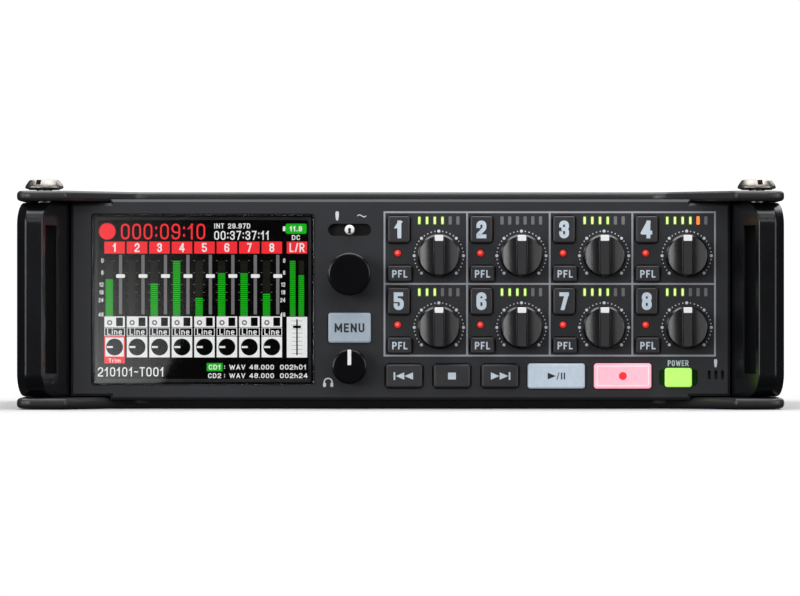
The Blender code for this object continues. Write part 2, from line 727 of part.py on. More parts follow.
def power_slider():
    """A slider whose cap overhangs its slot, with a plate behind the panel."""
    plate_front = PANEL_WALL + 1.3 * GAP
    corner = 0.5 * MM
    shape = along_y(
        (rounded_rect(5.7 * MM, 3.85 * MM, corner), -1.6 * MM),
        (rounded_rect(6.3 * MM, 4.45 * MM, corner), -1.3 * MM),
        (rounded_rect(6.3 * MM, 4.45 * MM, corner), -GAP),
        (rounded_rect(5.6 * MM, 3.1 * MM, corner), -GAP),
        (rounded_rect(5.6 * MM, 3.1 * MM, corner), plate_front),
        (rounded_rect(7.0 * MM, 5.0 * MM, corner), plate_front),
        (rounded_rect(7.0 * MM, 5.0 * MM, corner), plate_front + KEY_FLANGE_THICK),
    )
    on_panel("power_slider", as_mesh(shape, "power_slider"), "lit_green", POWER_X, POWER_Z)


# Screen and boards


def display():
    """The window glass, and the screen module that stands behind it."""
    glass = along_y(
        (rounded_rect(WINDOW_W - 0.4 * MM, WINDOW_H - 0.4 * MM, 0.4 * MM), 0.0),
        (rounded_rect(WINDOW_W, WINDOW_H, 0.6 * MM), 0.2 * MM),
        (rounded_rect(WINDOW_W, WINDOW_H, 0.6 * MM), 1.2 * MM),
    )
    module = along_y(
        (rounded_rect(SCREEN_W, SCREEN_H, 0.2 * MM, 1), 1.5 * MM),
        (rounded_rect(SCREEN_W, SCREEN_H, 0.2 * MM, 1), PANEL_WALL + GAP),
        (rounded_rect(53.5 * MM, 41.0 * MM, 0.5 * MM, 1), PANEL_WALL + GAP),
        (rounded_rect(53.5 * MM, 41.0 * MM, 0.5 * MM, 1), 8.5 * MM),
    )
    on_panel("display_window", as_mesh(glass, "display_window"), "window_glass", WINDOW_X, 0.0)
    on_panel("display_module", as_mesh(module, "display_module"), "screen_black", WINDOW_X, 0.0)


def front_board():
    """The control board, with a switch or a sensor block under each control."""
    board_y = BOARD_FACE - PANEL_FACE
    left, right = -17.5 * MM, PANEL_POCKET_HALF_W - GAP
    half = PANEL_POCKET_HALF_H - GAP
    shape = block((left, board_y, -half), (right, board_y + BOARD_THICK, half))
    switch_front = PANEL_WALL + 1.3 * GAP + KEY_FLANGE_THICK + KEY_TRAVEL + 0.15 * MM
    switches = [
        block((x - 1.2 * MM, switch_front, z - MM), (x + 1.2 * MM, board_y + 0.5 * MM, z + MM))
        for x, z, _, _ in key_places().values()
    ]
    shape = joined(shape, *switches)
    on_panel("front_board", as_mesh(shape, "front_board"), "board_green", 0.0, 0.0)


def main_board():
    """The main circuit board on its posts, with its larger components and the card socket."""
    low = BOARD_POST_TOP + GAP
    shape = block((-60 * MM, -42 * MM, low), (60 * MM, 2 * MM, low + BOARD_THICK))
    tongue = block((-84.4 * MM, -45.6 * MM, low), (-59 * MM, -36 * MM, low + BOARD_THICK))
    shape = joined(shape, tongue)
    components = [
        block((x - w / 2, y - d / 2, low + MM), (x + w / 2, y + d / 2, low + BOARD_THICK + h))
        for x, y, w, d, h in (
            (-30 * MM, -22 * MM, 24 * MM, 24 * MM, 3 * MM),
            (6 * MM, -14 * MM, 14 * MM, 14 * MM, 2 * MM),
            (38 * MM, -20 * MM, 20 * MM, 28 * MM, 8 * MM),
            (-73.4 * MM, SIDE_BAY_Y, 21 * MM, 7.6 * MM, 29 * MM),
        )
    ]
    shape = joined(shape, *components)
    place("main_board", as_mesh(shape, "main_board"), "board_green")


# Side and rear connectors


def input_jack_mesh():
    """A combination jack: a flange and barrel, a ring groove and a centre hole."""
    width, height = JACK_FLANGE
    flange = rounded_rect(width, height, 3 * MM, 3)
    groove_end = 10 * MM
    shape = along_y(
        (circle(PHONE_HOLE_R, SMALL_ROUND), PHONE_HOLE_DEPTH),
        (circle(PHONE_HOLE_R, SMALL_ROUND), 0.6 * MM),
        (circle(7.8 * MM, SMALL_ROUND), 0.6 * MM),
        (circle(7.8 * MM, SMALL_ROUND), groove_end),
        (circle(9.6 * MM, SMALL_ROUND), groove_end),
        (circle(9.6 * MM, SMALL_ROUND), 0.0),
        (flange, 0.0),
        (flange, FLANGE_THICK),
        (circle(JACK_BARREL_R, SMALL_ROUND), FLANGE_THICK),
        (circle(JACK_BARREL_R, SMALL_ROUND), JACK_DEPTH),
    )
    return as_mesh(shape, "input_jack")


def input_jacks():
    """Inputs 1 to 4 on the left side and 5 to 8 on the right, front to back."""
    mesh = input_jack_mesh()
    number = 1
    for side, turn in ((-1, -90), (1, 90)):
        for y in jack_places():
            place(f"input_jack_{number}", mesh, "jack_black", side * FLANGE_FACE, y, MID_Z, turn)
            number += 1


def headphone_jack():
    """The plate with the headphone jack, and a smaller line jack below it."""
    plate = rounded_rect(SIDE_BAY_W, SIDE_BAY_H, MM, 3)
    up = 8.0 * MM
    shape = along_y(
        (circle(PHONE_HOLE_R, SMALL_ROUND, 0.0, up), PHONE_HOLE_DEPTH),
        (circle(PHONE_HOLE_R, SMALL_ROUND, 0.0, up), 0.0),
        (plate, 0.0),
        (plate, FLANGE_THICK),
        (rounded_rect(7.5 * MM, 29 * MM, 0.8 * MM, 3), FLANGE_THICK),
        (rounded_rect(7.5 * MM, 29 * MM, 0.8 * MM, 3), JACK_DEPTH),
    )
    line_hole = circle(1.85 * MM, 12, 0.0, -up)
    shape = cut(shape, along_y((line_hole, -MM), (line_hole, 14 * MM)))
    mesh = as_mesh(shape, "headphone_jack")
    place("headphone_jack", mesh, "jack_black", FLANGE_FACE, SIDE_BAY_Y, MID_Z, 90)


def card_door():
    """The memory card door, with its hinge barrel along its lower edge."""
    barrel_r = 0.85 * MM
    bottom = -SIDE_BAY_H / 2
    plate = rounded_rect(SIDE_BAY_W, SIDE_BAY_H, MM, 2, 0.0, SIDE_BAY_H / 2)
    shape = along_y((plate, -0.6 * MM), (plate, FLANGE_THICK - 0.6 * MM))
    turns = [2 * math.pi * k / 10 for k in range(10)]
    rings = [
        [(x, barrel_r * math.cos(turn), barrel_r * math.sin(turn)) for turn in turns]
        for x in (-SIDE_BAY_W / 2 - 0.1 * MM, SIDE_BAY_W / 2 + 0.1 * MM)
    ]
    shape = joined(shape, skin(rings))
    mesh = as_mesh(shape, "card_door")
    place("card_door", mesh, "jack_black", -FLANGE_FACE + 0.6 * MM, SIDE_BAY_Y, MID_Z + bottom, -90)


def rear_connectors():
    """The rear connector block: two time code barrels, three round sockets and a small slot."""
    plate_back = CHASSIS_BACK + GAP + FLANGE_THICK
    body_front = CHASSIS_BACK - 12 * MM
    wide, tall = REAR_W - 6 * MM - 2 * GAP, REAR_H - 6 * MM - 2 * GAP
    shape = along_y(
        (rounded_rect(REAR_W, REAR_H, 1.5 * MM), plate_back),
        (rounded_rect(REAR_W, REAR_H, 1.5 * MM), CHASSIS_BACK + GAP),
        (rounded_rect(wide, tall, MM), CHASSIS_BACK + GAP),
        (rounded_rect(wide, tall, MM), body_front),
    )
    barrels = [
        along_y(
            (circle(2.3 * MM, SMALL_ROUND, x, REAR_ROW), BACK - MM),
            (circle(2.3 * MM, SMALL_ROUND, x, REAR_ROW), plate_back + 0.5 * MM),
            (circle(4.05 * MM, SMALL_ROUND, x, REAR_ROW), plate_back + 0.5 * MM),
            (circle(4.05 * MM, SMALL_ROUND, x, REAR_ROW), BACK),
            (circle(4.8 * MM, SMALL_ROUND, x, REAR_ROW), BACK),
            (circle(4.8 * MM, SMALL_ROUND, x, REAR_ROW), plate_back - MM),
        )
        for x in (-REAR_COLUMN, 0.0)
    ]
    shape = joined(shape, *barrels)
    tools = [groove(REAR_COLUMN, REAR_ROW, plate_back)]
    tools += [groove(x, -REAR_ROW, plate_back) for x in (-REAR_COLUMN, 0.0)]
    port = rounded_rect(9 * MM, 3.3 * MM, MM, 2, REAR_COLUMN, -REAR_ROW)
    tools.append(along_y((port, plate_back - 5 * MM), (port, plate_back + MM)))
    shape = cut(shape, *tools)
    place("rear_connectors", as_mesh(shape, "rear_connectors"), "rear_black", REAR_X, 0.0, MID_Z)


def groove(x, z, face):
    """A cutter for the ring groove of a round socket in the rear block."""
    inner, outer, depth = 3.4 * MM, 5.0 * MM, 6 * MM
    shape = bmesh.new()
    sections = ((outer, face + MM), (outer, face - depth), (inner, face - depth), (inner, face + MM))
    loops = [
        [shape.verts.new((u, y, v)) for u, v in circle(radius, SMALL_ROUND, x, z)]
        for radius, y in sections
    ]
    for near, far in zip(loops, loops[1:] + loops[:1]):
        for k in range(SMALL_ROUND):
            j = (k + 1) % SMALL_ROUND
            shape.faces.new((near[k], near[j], far[j], far[k]))
    bmesh.ops.recalc_face_normals(shape, faces=shape.faces)
    return shape


# Battery sled


def battery_sled():
    """An open sled with a bay for four cells above its web and four below."""
    back = CHASSIS_BACK
    half_w, half_h = SLED_W / 2, SLED_H / 2
    shape = block((-half_w, SLED_FRONT, -half_h), (half_w, back, half_h))
    web = 0.75 * MM
    bays = [
        block(
            (-half_w + SLED_WALL, SLED_FRONT + SLED_WALL, low),
            (half_w - SLED_WALL, back - 2 * SLED_WALL, high),
        )
        for low, high in ((web, half_h + MM), (-half_h - MM, -web))
    ]
    shape = cut(shape, *bays)
    place("battery_sled", as_mesh(shape, "battery_sled"), "sled_black", SLED_X, 0.0, MID_Z)


def battery_cap():
    """The sled's outer cap, with a thumb recess."""
    front = CHASSIS_BACK + GAP
    shape = along_y(
        (rounded_rect(65 * MM, 36.5 * MM, 2 * MM), front + 3.0 * MM),
        (rounded_rect(66 * MM, 37.5 * MM, 2.5 * MM), front + 2.5 * MM),
        (rounded_rect(66 * MM, 37.5 * MM, 2.5 * MM), front),
    )
    thumb = rounded_rect(24 * MM, 3.4 * MM, 1.2 * MM, 2, 0.0, 12 * MM)
    shape = cut(shape, along_y((thumb, front + 1.4 * MM), (thumb, front + 4 * MM)))
    place("battery_cap", as_mesh(shape, "battery_cap"), "rear_black", SLED_X, 0.0, MID_Z)


def build():
    clear_scene()
    chassis()
    top_cover()
    bottom_cover()
    front_panel()
    handle("handle_left", -1)
    handle("handle_right", 1)
    handle_screw("handle_screw_left", -1, -18.0)
    handle_screw("handle_screw_right", 1, 9.0)
    display()
    front_board()
    main_board()
    keys()
    potentiometer_knobs()
    encoder()
    tone_slider()
    power_slider()
    input_jacks()
    headphone_jack()
    card_door()
    rear_connectors()
    battery_sled()
    battery_cap()


build()
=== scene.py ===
"""Looks of the portable field recorder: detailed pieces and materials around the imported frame."""
import math

import bmesh
import bpy
from mathutils import Matrix, Vector


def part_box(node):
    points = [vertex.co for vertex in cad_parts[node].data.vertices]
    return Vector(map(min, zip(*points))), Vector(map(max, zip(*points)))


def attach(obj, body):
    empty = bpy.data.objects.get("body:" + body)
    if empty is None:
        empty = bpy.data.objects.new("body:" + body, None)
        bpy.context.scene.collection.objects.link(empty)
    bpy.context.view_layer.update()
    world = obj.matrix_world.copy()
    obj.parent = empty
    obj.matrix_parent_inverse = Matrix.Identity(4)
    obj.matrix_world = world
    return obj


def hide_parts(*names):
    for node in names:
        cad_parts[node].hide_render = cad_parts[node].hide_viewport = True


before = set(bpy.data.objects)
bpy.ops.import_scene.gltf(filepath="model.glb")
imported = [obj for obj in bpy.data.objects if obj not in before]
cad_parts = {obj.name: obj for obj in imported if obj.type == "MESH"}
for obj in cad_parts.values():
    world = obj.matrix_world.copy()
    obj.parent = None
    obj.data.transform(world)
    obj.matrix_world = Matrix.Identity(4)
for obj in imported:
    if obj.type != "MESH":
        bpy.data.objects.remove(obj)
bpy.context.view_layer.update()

MM = 0.001  # shapes are drawn in millimetres and become metres in as_mesh and piece
CLOSE = 0.001  # points nearer than this are one point
INK = 0.03  # thickness of printing
BODY = "recorder_body"


# ---------------------------------------------------------------- places read from the frame


def box(node):
    """Both corners of a CAD node's box, in millimetres."""
    low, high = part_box(node)
    return low / MM, high / MM


def middle(node):
    """Centre of a CAD node's box."""
    low, high = box(node)
    return (low + high) / 2


def size(node):
    """Lengths of a CAD node's box."""
    low, high = box(node)
    return high - low


PANEL_FACE = box("front_panel")[0].y
PRINT_FACE = PANEL_FACE - 0.02
MID_Z = middle("chassis").z
FRONT = box("handle_left")[0].y
HALF_W = box("handle_right")[1].x
WINDOW = middle("display_window")
SCREEN_FACE = box("display_module")[0].y
CELL_W = middle("gain_knob_2").x - middle("gain_knob_1").x
CELL_H = middle("gain_knob_1").z - middle("gain_knob_5").z
KNOB_IN_CELL = (12.7, -10.16)
CHANNELS = range(1, 9)
SIDES = (-1, 1)


# ---------------------------------------------------------------- outlines and shapes


def arc(u, v, radius, start, end, steps):
    """Points along an arc, angles in degrees."""
    turns = [math.radians(start + (end - start) * k / steps) for k in range(steps + 1)]
    return [(u + radius * math.cos(turn), v + radius * math.sin(turn)) for turn in turns]


def circle(radius, count=64, u=0.0, v=0.0):
    """A circle that pairs up with a rounded rectangle of the same count."""
    turns = [(k + 0.5) * 2 * math.pi / count for k in range(count)]
    return [(u + radius * math.cos(turn), v + radius * math.sin(turn)) for turn in turns]


def rounded_rect(width, height, radius, steps=6, u=0.0, v=0.0):
    """A rectangle about (u, v) with round corners."""
    radius = max(min(radius, width / 2, height / 2), 0.01)
    across, up = width / 2 - radius, height / 2 - radius
    points = []
    for quarter, (cu, cv) in enumerate(((across, up), (-across, up), (-across, -up), (across, -up))):
        points += arc(u + cu, v + cv, radius, 90 * quarter, 90 * quarter + 90, steps)
    return points


def corner_arc(before, here, after, radius, steps):
    """Points of a round corner at here, between the directions before and after."""
    half = before.angle(after) / 2
    centre = here + (before + after).normalized() * (radius / math.sin(half))
    start = here + before * (radius / math.tan(half)) - centre
    end = here + after * (radius / math.tan(half)) - centre
    sweep = start.angle_signed(end)
    return [tuple(centre + Matrix.Rotation(-sweep * k / steps, 2) @ start) for k in range(steps + 1)]


def rounded_polygon(corners, steps):
    """An outline through (u, v, radius) corners, each rounded by its radius."""
    points = []
    for k, (u, v, radius) in enumerate(corners):
        here = Vector((u, v))
        before = (Vector(corners[k - 1][:2]) - here).normalized()
        after = (Vector(corners[(k + 1) % len(corners)][:2]) - here).normalized()
        points += corner_arc(before, here, after, radius, steps) if radius else [(u, v)]
    return points


def mitre(before, here, after):
    """How far a corner moves when the lines that meet in it move one unit to their left."""
    come, go = (here - before).normalized(), (after - here).normalized()
    normal = Vector((-come.y - go.y, come.x + go.x))
    return normal * (2 / normal.length_squared)


def inset(outline, amount):
    """A counterclockwise outline moved inwards by amount."""
    points = [Vector(point) for point in outline]
    ahead = points[1:] + points[:1]
    return [tuple(here + mitre(points[k - 1], here, ahead[k]) * amount) for k, here in enumerate(points)]


def edge_steps(radius, steps=4):
    """(inset, depth) pairs of a rounded edge, from the face outwards."""
    turns = [math.pi / 2 * k / steps for k in range(steps + 1)]
    return [(radius * (1 - math.sin(turn)), radius * (1 - math.cos(turn))) for turn in turns]


def skin(rings, closed=False):
    """A shape through rings of points, capped at both ends or closed on itself."""
    shape = bmesh.new()
    loops = [[shape.verts.new(point) for point in ring] for ring in rings]
    if closed:
        loops.append(loops[0])
    for near, far in zip(loops, loops[1:]):
        for k in range(len(near)):
            j = (k + 1) % len(near)
            shape.faces.new((near[k], near[j], far[j], far[k]))
    if not closed:
        shape.faces.new(loops[0][::-1])
        shape.faces.new(loops[-1])
    bmesh.ops.recalc_face_normals(shape, faces=shape.faces)
    return shape


def along_y(sections, closed=False):
    """A shape through (outline, y) sections."""
    return skin([[(u, y, v) for u, v in outline] for outline, y in sections], closed)


def along_z(sections):
    """A shape through (outline, z) sections."""
    return skin([[(u, v, z) for u, v in outline] for outline, z in sections])


def turned(profile, count=64):
    """A round shape about Y through (radius, y) pairs."""
    return along_y([(circle(radius, count), y) for radius, y in profile])


def plate(outline, front, thick=INK):
    """A flat plate with its front at y = front."""
    return along_y([(outline, front), (outline, front + thick)])


def ring_shape(outer, inner, front, thick=INK):
    """A flat ring or frame between two outlines of the same count."""
    back = front + thick
    return along_y([(outer, front), (outer, back), (inner, back), (inner, front)], closed=True)


def post(x, y, radius, bottom, top, count=32):
    """An upright round post."""
    return along_z([(circle(radius, count, x, y), z) for z in (bottom, top)])


def block(low, high):
    """A box between two corners."""
    outline = [(low[0], low[1]), (high[0], low[1]), (high[0], high[1]), (low[0], high[1])]
    return along_z([(outline, low[2]), (outline, high[2])])


def moved(shape, x, y, z):
    """The shape, shifted."""
    bmesh.ops.translate(shape, vec=(x, y, z), verts=shape.verts)
    return shape


def spun(shape, degrees):
    """The shape, turned about Z."""
    turn = Matrix.Rotation(math.radians(degrees), 3, "Z")
    bmesh.ops.rotate(shape, cent=(0, 0, 0), matrix=turn, verts=shape.verts)
    return shape


def as_mesh(shape, name="shape", unit=MM):
    """Mesh data of a shape, in metres."""
    mesh = bpy.data.meshes.new(name)
    shape.to_mesh(mesh)
    shape.free()
    mesh.transform(Matrix.Scale(unit, 4))
    return mesh


def bundle(shapes):
    """Several shapes as one."""
    whole = bmesh.new()
    for shape in shapes:
        mesh = as_mesh(shape, unit=1.0)
        whole.from_mesh(mesh)
        bpy.data.meshes.remove(mesh)
    return whole


def linked(name, data):
    """A new object in the scene."""
    item = bpy.data.objects.new(name, data)
    bpy.context.scene.collection.objects.link(item)
    return item


def carved(shape, tools, bevel=0.0, segments=3, angle=35.0):
    """Mesh of a shape after cutting the tools out and rounding what is sharp."""
    base = linked("base", as_mesh(shape))
    cutter = linked("cutter", as_mesh(bundle(tools)))
    cut = base.modifiers.new("cut", "BOOLEAN")
    cut.operation = "DIFFERENCE"
    cut.object = cutter
    if bevel:
        step = base.modifiers.new("round", "BEVEL")
        step.width = bevel * MM
        step.segments = segments
        step.limit_method = "ANGLE"
        step.angle_limit = math.radians(angle)
        step.miter_outer = "MITER_ARC"
    bpy.context.view_layer.update()
    graph = bpy.context.evaluated_depsgraph_get()
    mesh = bpy.data.meshes.new_from_object(base.evaluated_get(graph))
    bpy.data.objects.remove(base)
    bpy.data.objects.remove(cutter)
    return mesh


def piece(name, shape, look, body=BODY, slot=None, replaces=None, at=(0, 0, 0), turn=0.0, sharp=32.0):
    """A visible piece: placed, finished, and riding on its body."""
    mesh = shape if isinstance(shape, bpy.types.Mesh) else as_mesh(shape, name)
    mesh.materials.clear()
    mesh.materials.append(LOOK[look])
    mesh.shade_smooth()
    mesh.set_sharp_from_angle(angle=math.radians(sharp))
    item = linked(name, mesh)
    item.location = Vector(at) * MM
    item.rotation_euler = (0.0, 0.0, math.radians(turn))
    step = item.modifiers.new("even_normals", "WEIGHTED_NORMAL")
    step.keep_sharp = True
    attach(item, body)
    if replaces:
        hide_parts(replaces)


# ---------------------------------------------------------------- lettering

BEND = 0.24  # radius of a letter's bends, in letter heights
STROKE_STEP = 0.004  # crossing strokes lie one step apart
STEM = [(0, 0), (0, 1)]
ROUND = [(0, 0.5), (0, 1, BEND), (1, 1, BEND), (1, 0, BEND), (0, 0, BEND), (0, 0.5)]
BOWL = [(0.1, 1), (1, 1, BEND), (1, 0.45, BEND), (0.1, 0.45)]
LETTERS = {  # width in letter heights, then strokes in a unit cell
    "0": (0.50, [ROUND]),
    "1": (0.34, [[(0.72, 0), (0.72, 1)], [(0.05, 0.72), (0.72, 0.95)]]),
    "2": (0.50, [[(0, 0.74), (0, 1, BEND), (1, 1, BEND), (1, 0.58, 0.16), (0, 0.12), (0, 0), (1, 0)]]),
    "3": (0.50, [
        [(0, 0.78), (0, 1, BEND), (1, 1, BEND), (1, 0.53, 0.2), (0.4, 0.53)],
        [(0.4, 0.53), (1, 0.53, 0.2), (1, 0, BEND), (0, 0, BEND), (0, 0.22)],
    ]),
    "4": (0.54, [[(0.74, 0), (0.74, 1)], [(0.64, 0.92), (0.02, 0.34)], [(0, 0.27), (1, 0.27)]]),
    "5": (0.50, [[(0.9, 1), (0, 1), (0, 0.58), (1, 0.58, BEND), (1, 0, BEND), (0, 0, BEND), (0, 0.2)]]),
    "6": (0.50, [
        [(1, 0.8), (1, 1, BEND), (0, 1, BEND), (0, 0, BEND), (1, 0, BEND), (1, 0.3)],
        [(1, 0.3), (1, 0.57, BEND), (0.1, 0.57)],
    ]),
    "7": (0.48, [[(0, 1), (1, 1)], [(0.92, 0.95), (0.3, 0)]]),
    "8": (0.50, [
        [(0, 0.77), (0, 1, 0.2), (1, 1, 0.2), (1, 0.53, 0.2), (0, 0.53, 0.2), (0, 0.77)],
        [(0, 0.27), (0, 0.53, 0.2), (1, 0.53, 0.2), (1, 0, 0.2), (0, 0, 0.2), (0, 0.27)],
    ]),
    "9": (0.50, [
        [(0, 0.2), (0, 0, BEND), (1, 0, BEND), (1, 1, BEND), (0, 1, BEND), (0, 0.7)],
        [(0, 0.7), (0, 0.43, BEND), (0.9, 0.43)],
    ]),
    ":": (0.14, [[(0.5, 0.2), (0.5, 0.26)], [(0.5, 0.72), (0.5, 0.78)]]),
    ".": (0.14, [[(0.5, 0), (0.5, 0.03)]]),
    "-": (0.36, [[(0, 0.5), (1, 0.5)]]),
    "/": (0.34, [[(0, 0), (1, 1)]]),
    " ": (0.30, []),
    "A": (0.56, [[(0, 0), (0.5, 1)], [(1, 0), (0.5, 1)], [(0.3, 0.3), (0.7, 0.3)]]),
    "C": (0.50, [[(1, 0.78), (1, 1, BEND), (0, 1, BEND), (0, 0, BEND), (1, 0, BEND), (1, 0.22)]]),
    "D": (0.52, [[(0, 0.5), (0, 1), (1, 1, 0.3), (1, 0, 0.3), (0, 0), (0, 0.5)]]),
    "E": (0.45, [[(1, 1), (0, 1), (0, 0), (1, 0)], [(0, 0.5), (0.85, 0.5)]]),
    "F": (0.44, [[(1, 1), (0, 1), (0, 0)], [(0, 0.48), (0.8, 0.48)]]),
    "I": (0.18, [[(0.5, 0), (0.5, 1)]]),
    "L": (0.42, [[(0, 1), (0, 0), (1, 0)]]),
    "M": (0.66, [STEM, [(1, 0), (1, 1)], [(0.03, 0.95), (0.5, 0.25)], [(0.97, 0.95), (0.5, 0.25)]]),
    "N": (0.54, [STEM, [(1, 0), (1, 1)], [(0.03, 0.97), (0.97, 0.03)]]),
    "O": (0.52, [ROUND]),
    "P": (0.50, [STEM, BOWL]),
    "R": (0.52, [STEM, BOWL, [(0.5, 0.42), (1, 0)]]),
    "T": (0.48, [[(0, 1), (1, 1)], [(0.5, 0), (0.5, 1)]]),
    "U": (0.52, [[(0, 1), (0, 0, BEND), (1, 0, BEND), (1, 1)]]),
    "V": (0.54, [[(0, 1), (0.5, 0)], [(1, 1), (0.5, 0)]]),
    "W": (0.82, [[(0, 1), (0.26, 0)], [(0.5, 0.9), (0.26, 0)], [(0.5, 0.9), (0.74, 0)], [(1, 1), (0.74, 0)]]),
    "e": (0.44, [
        [(0.1, 0.34), (0.9, 0.34)],
        [(1, 0.34), (1, 0.66, 0.16), (0, 0.66, 0.16), (0, 0, 0.16), (0.9, 0)],
    ]),
    "h": (0.44, [STEM, [(0, 0.62), (1, 0.62, 0.2), (1, 0)]]),
    "i": (0.16, [[(0.5, 0), (0.5, 0.64)], [(0.5, 0.96), (0.5, 1)]]),
    "m": (0.70, [
        [(0, 0), (0, 0.66)],
        [(0, 0.64), (0.5, 0.64, 0.14), (0.5, 0)],
        [(0.5, 0.64), (1, 0.64, 0.14), (1, 0)],
    ]),
    "n": (0.44, [[(0, 0), (0, 0.66)], [(0, 0.64), (1, 0.64, 0.2), (1, 0)]]),
    "r": (0.30, [[(0, 0), (0, 0.66)], [(0, 0.64), (1, 0.64)]]),
}


def ribbon(path, width, front):
    """A thin band along a path in the XZ plane; it closes on itself where the path does."""
    points = [Vector(point) for point in path]
    closed = (points[0] - points[-1]).length < CLOSE
    if closed:
        points.pop()
    last = len(points) - 1
    rings = []
    for k, here in enumerate(points):
        ahead = points[(k + 1) % (last + 1)] if closed or k < last else here * 2 - points[k - 1]
        behind = points[k - 1] if closed or k else here * 2 - points[1]
        side = mitre(behind, here, ahead) * width / 2
        corners = ((here + side, 0.0), (here - side, 0.0), (here - side, INK), (here + side, INK))
        rings.append([(at.x, front + deep, at.y) for at, deep in corners])
    return skin(rings, closed)


def bent(corners, steps):
    """An open path through (u, v, radius) corners with its bends rounded."""
    path = [corners[0][:2]]
    last = len(corners) - 1
    for k, (before, here, after) in enumerate(zip(corners, corners[1:], corners[2:]), 1):
        corner = Vector(here[:2])
        come, go = Vector(before[:2]) - corner, Vector(after[:2]) - corner
        room = min(come.length * (0.95 if k == 1 else 0.5), go.length * (0.95 if k + 1 == last else 0.5))
        half = come.angle(go) / 2
        radius = min(here[2], room * math.tan(half))
        if radius == 0 or half > math.radians(88):
            path.append(tuple(corner))
        else:
            path += corner_arc(come.normalized(), corner, go.normalized(), radius, steps)
    path.append(corners[-1][:2])
    return path


def stroke(points, cell, line, front, steps):
    """One stroke of a letter inside its cell; a slanted one has level ends."""
    x, z, width, height = cell
    half = line / 2
    corners = []
    for u, v, *bend in points:
        radius = min(bend[0] * height, 0.48 * (width - line)) if bend else 0.0
        corners.append((x + half + u * (width - line), z + half + v * (height - line), radius))
    (u0, v0, _), (u1, v1, _) = corners[0], corners[-1]
    if len(corners) == 2 and abs(u0 - u1) > CLOSE and abs(v0 - v1) > CLOSE:
        if v0 > v1:
            (u0, v0), (u1, v1) = (u1, v1), (u0, v0)
        slope = (u1 - u0) / (v1 - v0)
        u0, v0, u1, v1 = u0 - slope * half, v0 - half, u1 + slope * half, v1 + half
        reach = half * math.sqrt(1 + slope * slope)
        return plate([(u0 - reach, v0), (u0 + reach, v0), (u1 + reach, v1), (u1 - reach, v1)], front)
    path = [Vector(point) for point in bent(corners, steps)]
    if (path[0] - path[-1]).length > CLOSE:
        path[0] = path[0] - (path[1] - path[0]).normalized() * half
        path[-1] = path[-1] - (path[-2] - path[-1]).normalized() * half
    return ribbon(path, line, front)


def lettering(text, height, x, z, front, weight=0.16, stretch=1.0, align="CENTER", steps=4):
    """Plain letters as thin solids that face -Y; z is at their middle."""
    gap = 0.15 * height * stretch
    widths = [LETTERS[letter][0] * height * stretch for letter in text]
    total = sum(widths) + gap * (len(text) - 1)
    left = x - {"LEFT": 0.0, "CENTER": 0.5, "RIGHT": 1.0}[align] * total
    shapes = []
    for letter, width in zip(text, widths):
        cell = (left, z - height / 2, width, height)
        for number, points in enumerate(LETTERS[letter][1]):
            shapes.append(stroke(points, cell, weight * height, front - number * STROKE_STEP, steps))
        left += width + gap
    return bundle(shapes)


# ---------------------------------------------------------------- materials


def nodes_of(name):
    """A new node material, its node tree and its Principled shader."""
    made = bpy.data.materials.new(name)
    made.use_nodes = True
    tree = made.node_tree
    return made, tree, tree.nodes["Principled BSDF"]


def node(tree, kind, values=(), operation=None):
    """A new node with some inputs set."""
    made = tree.nodes.new(kind)
    if operation:
        made.operation = operation
    for socket, value in dict(values).items():
        made.inputs[socket].default_value = value
    return made


def noise(tree, scale, detail=4.0, rough=0.5, stretch=None):
    """Noise over the object's own coordinates, in cells per metre."""
    source = node(tree, "ShaderNodeTexCoord").outputs["Object"]
    if stretch:
        squash = node(tree, "ShaderNodeMapping", {"Scale": stretch})
        tree.links.new(source, squash.inputs["Vector"])
        source = squash.outputs["Vector"]
    texture = node(tree, "ShaderNodeTexNoise", {"Scale": scale, "Detail": detail, "Roughness": rough})
    tree.links.new(source, texture.inputs["Vector"])
    return texture.outputs["Fac"]


def ramp(tree, factor, low, high):
    """A colour between low and high."""
    mix = node(tree, "ShaderNodeValToRGB")
    for stop, position, colour in zip(mix.color_ramp.elements, (0.3, 0.7), (low, high)):
        stop.position = position
        stop.color = (*colour, 1.0)
    tree.links.new(factor, mix.inputs["Fac"])
    return mix.outputs["Color"]


def spread(tree, factor, low, high):
    """A number between low and high."""
    span = node(tree, "ShaderNodeMapRange", {"From Min": 0.3, "From Max": 0.7, "To Min": low, "To Max": high})
    tree.links.new(factor, span.inputs["Value"])
    return span.outputs["Result"]


def bumped(tree, shader, height, strength, distance):
    """Relief from a height, its distance in millimetres."""
    bump = node(tree, "ShaderNodeBump", {"Strength": strength, "Distance": distance * MM})
    tree.links.new(height, bump.inputs["Height"])
    tree.links.new(bump.outputs["Normal"], shader.inputs["Normal"])


def coated(name, dark, light, smooth, rough, grain, relief, shine=0.5):
    """A coloured surface with slow colour and gloss variation and a fine grain."""
    made, tree, shader = nodes_of(name)
    slow = noise(tree, 60.0, 5.0, 0.6)
    tree.links.new(ramp(tree, slow, dark, light), shader.inputs["Base Color"])
    tree.links.new(spread(tree, slow, smooth, rough), shader.inputs["Roughness"])
    shader.inputs["Specular IOR Level"].default_value = shine
    bumped(tree, shader, noise(tree, grain, 3.0, 0.55), 0.5, relief)
    return made


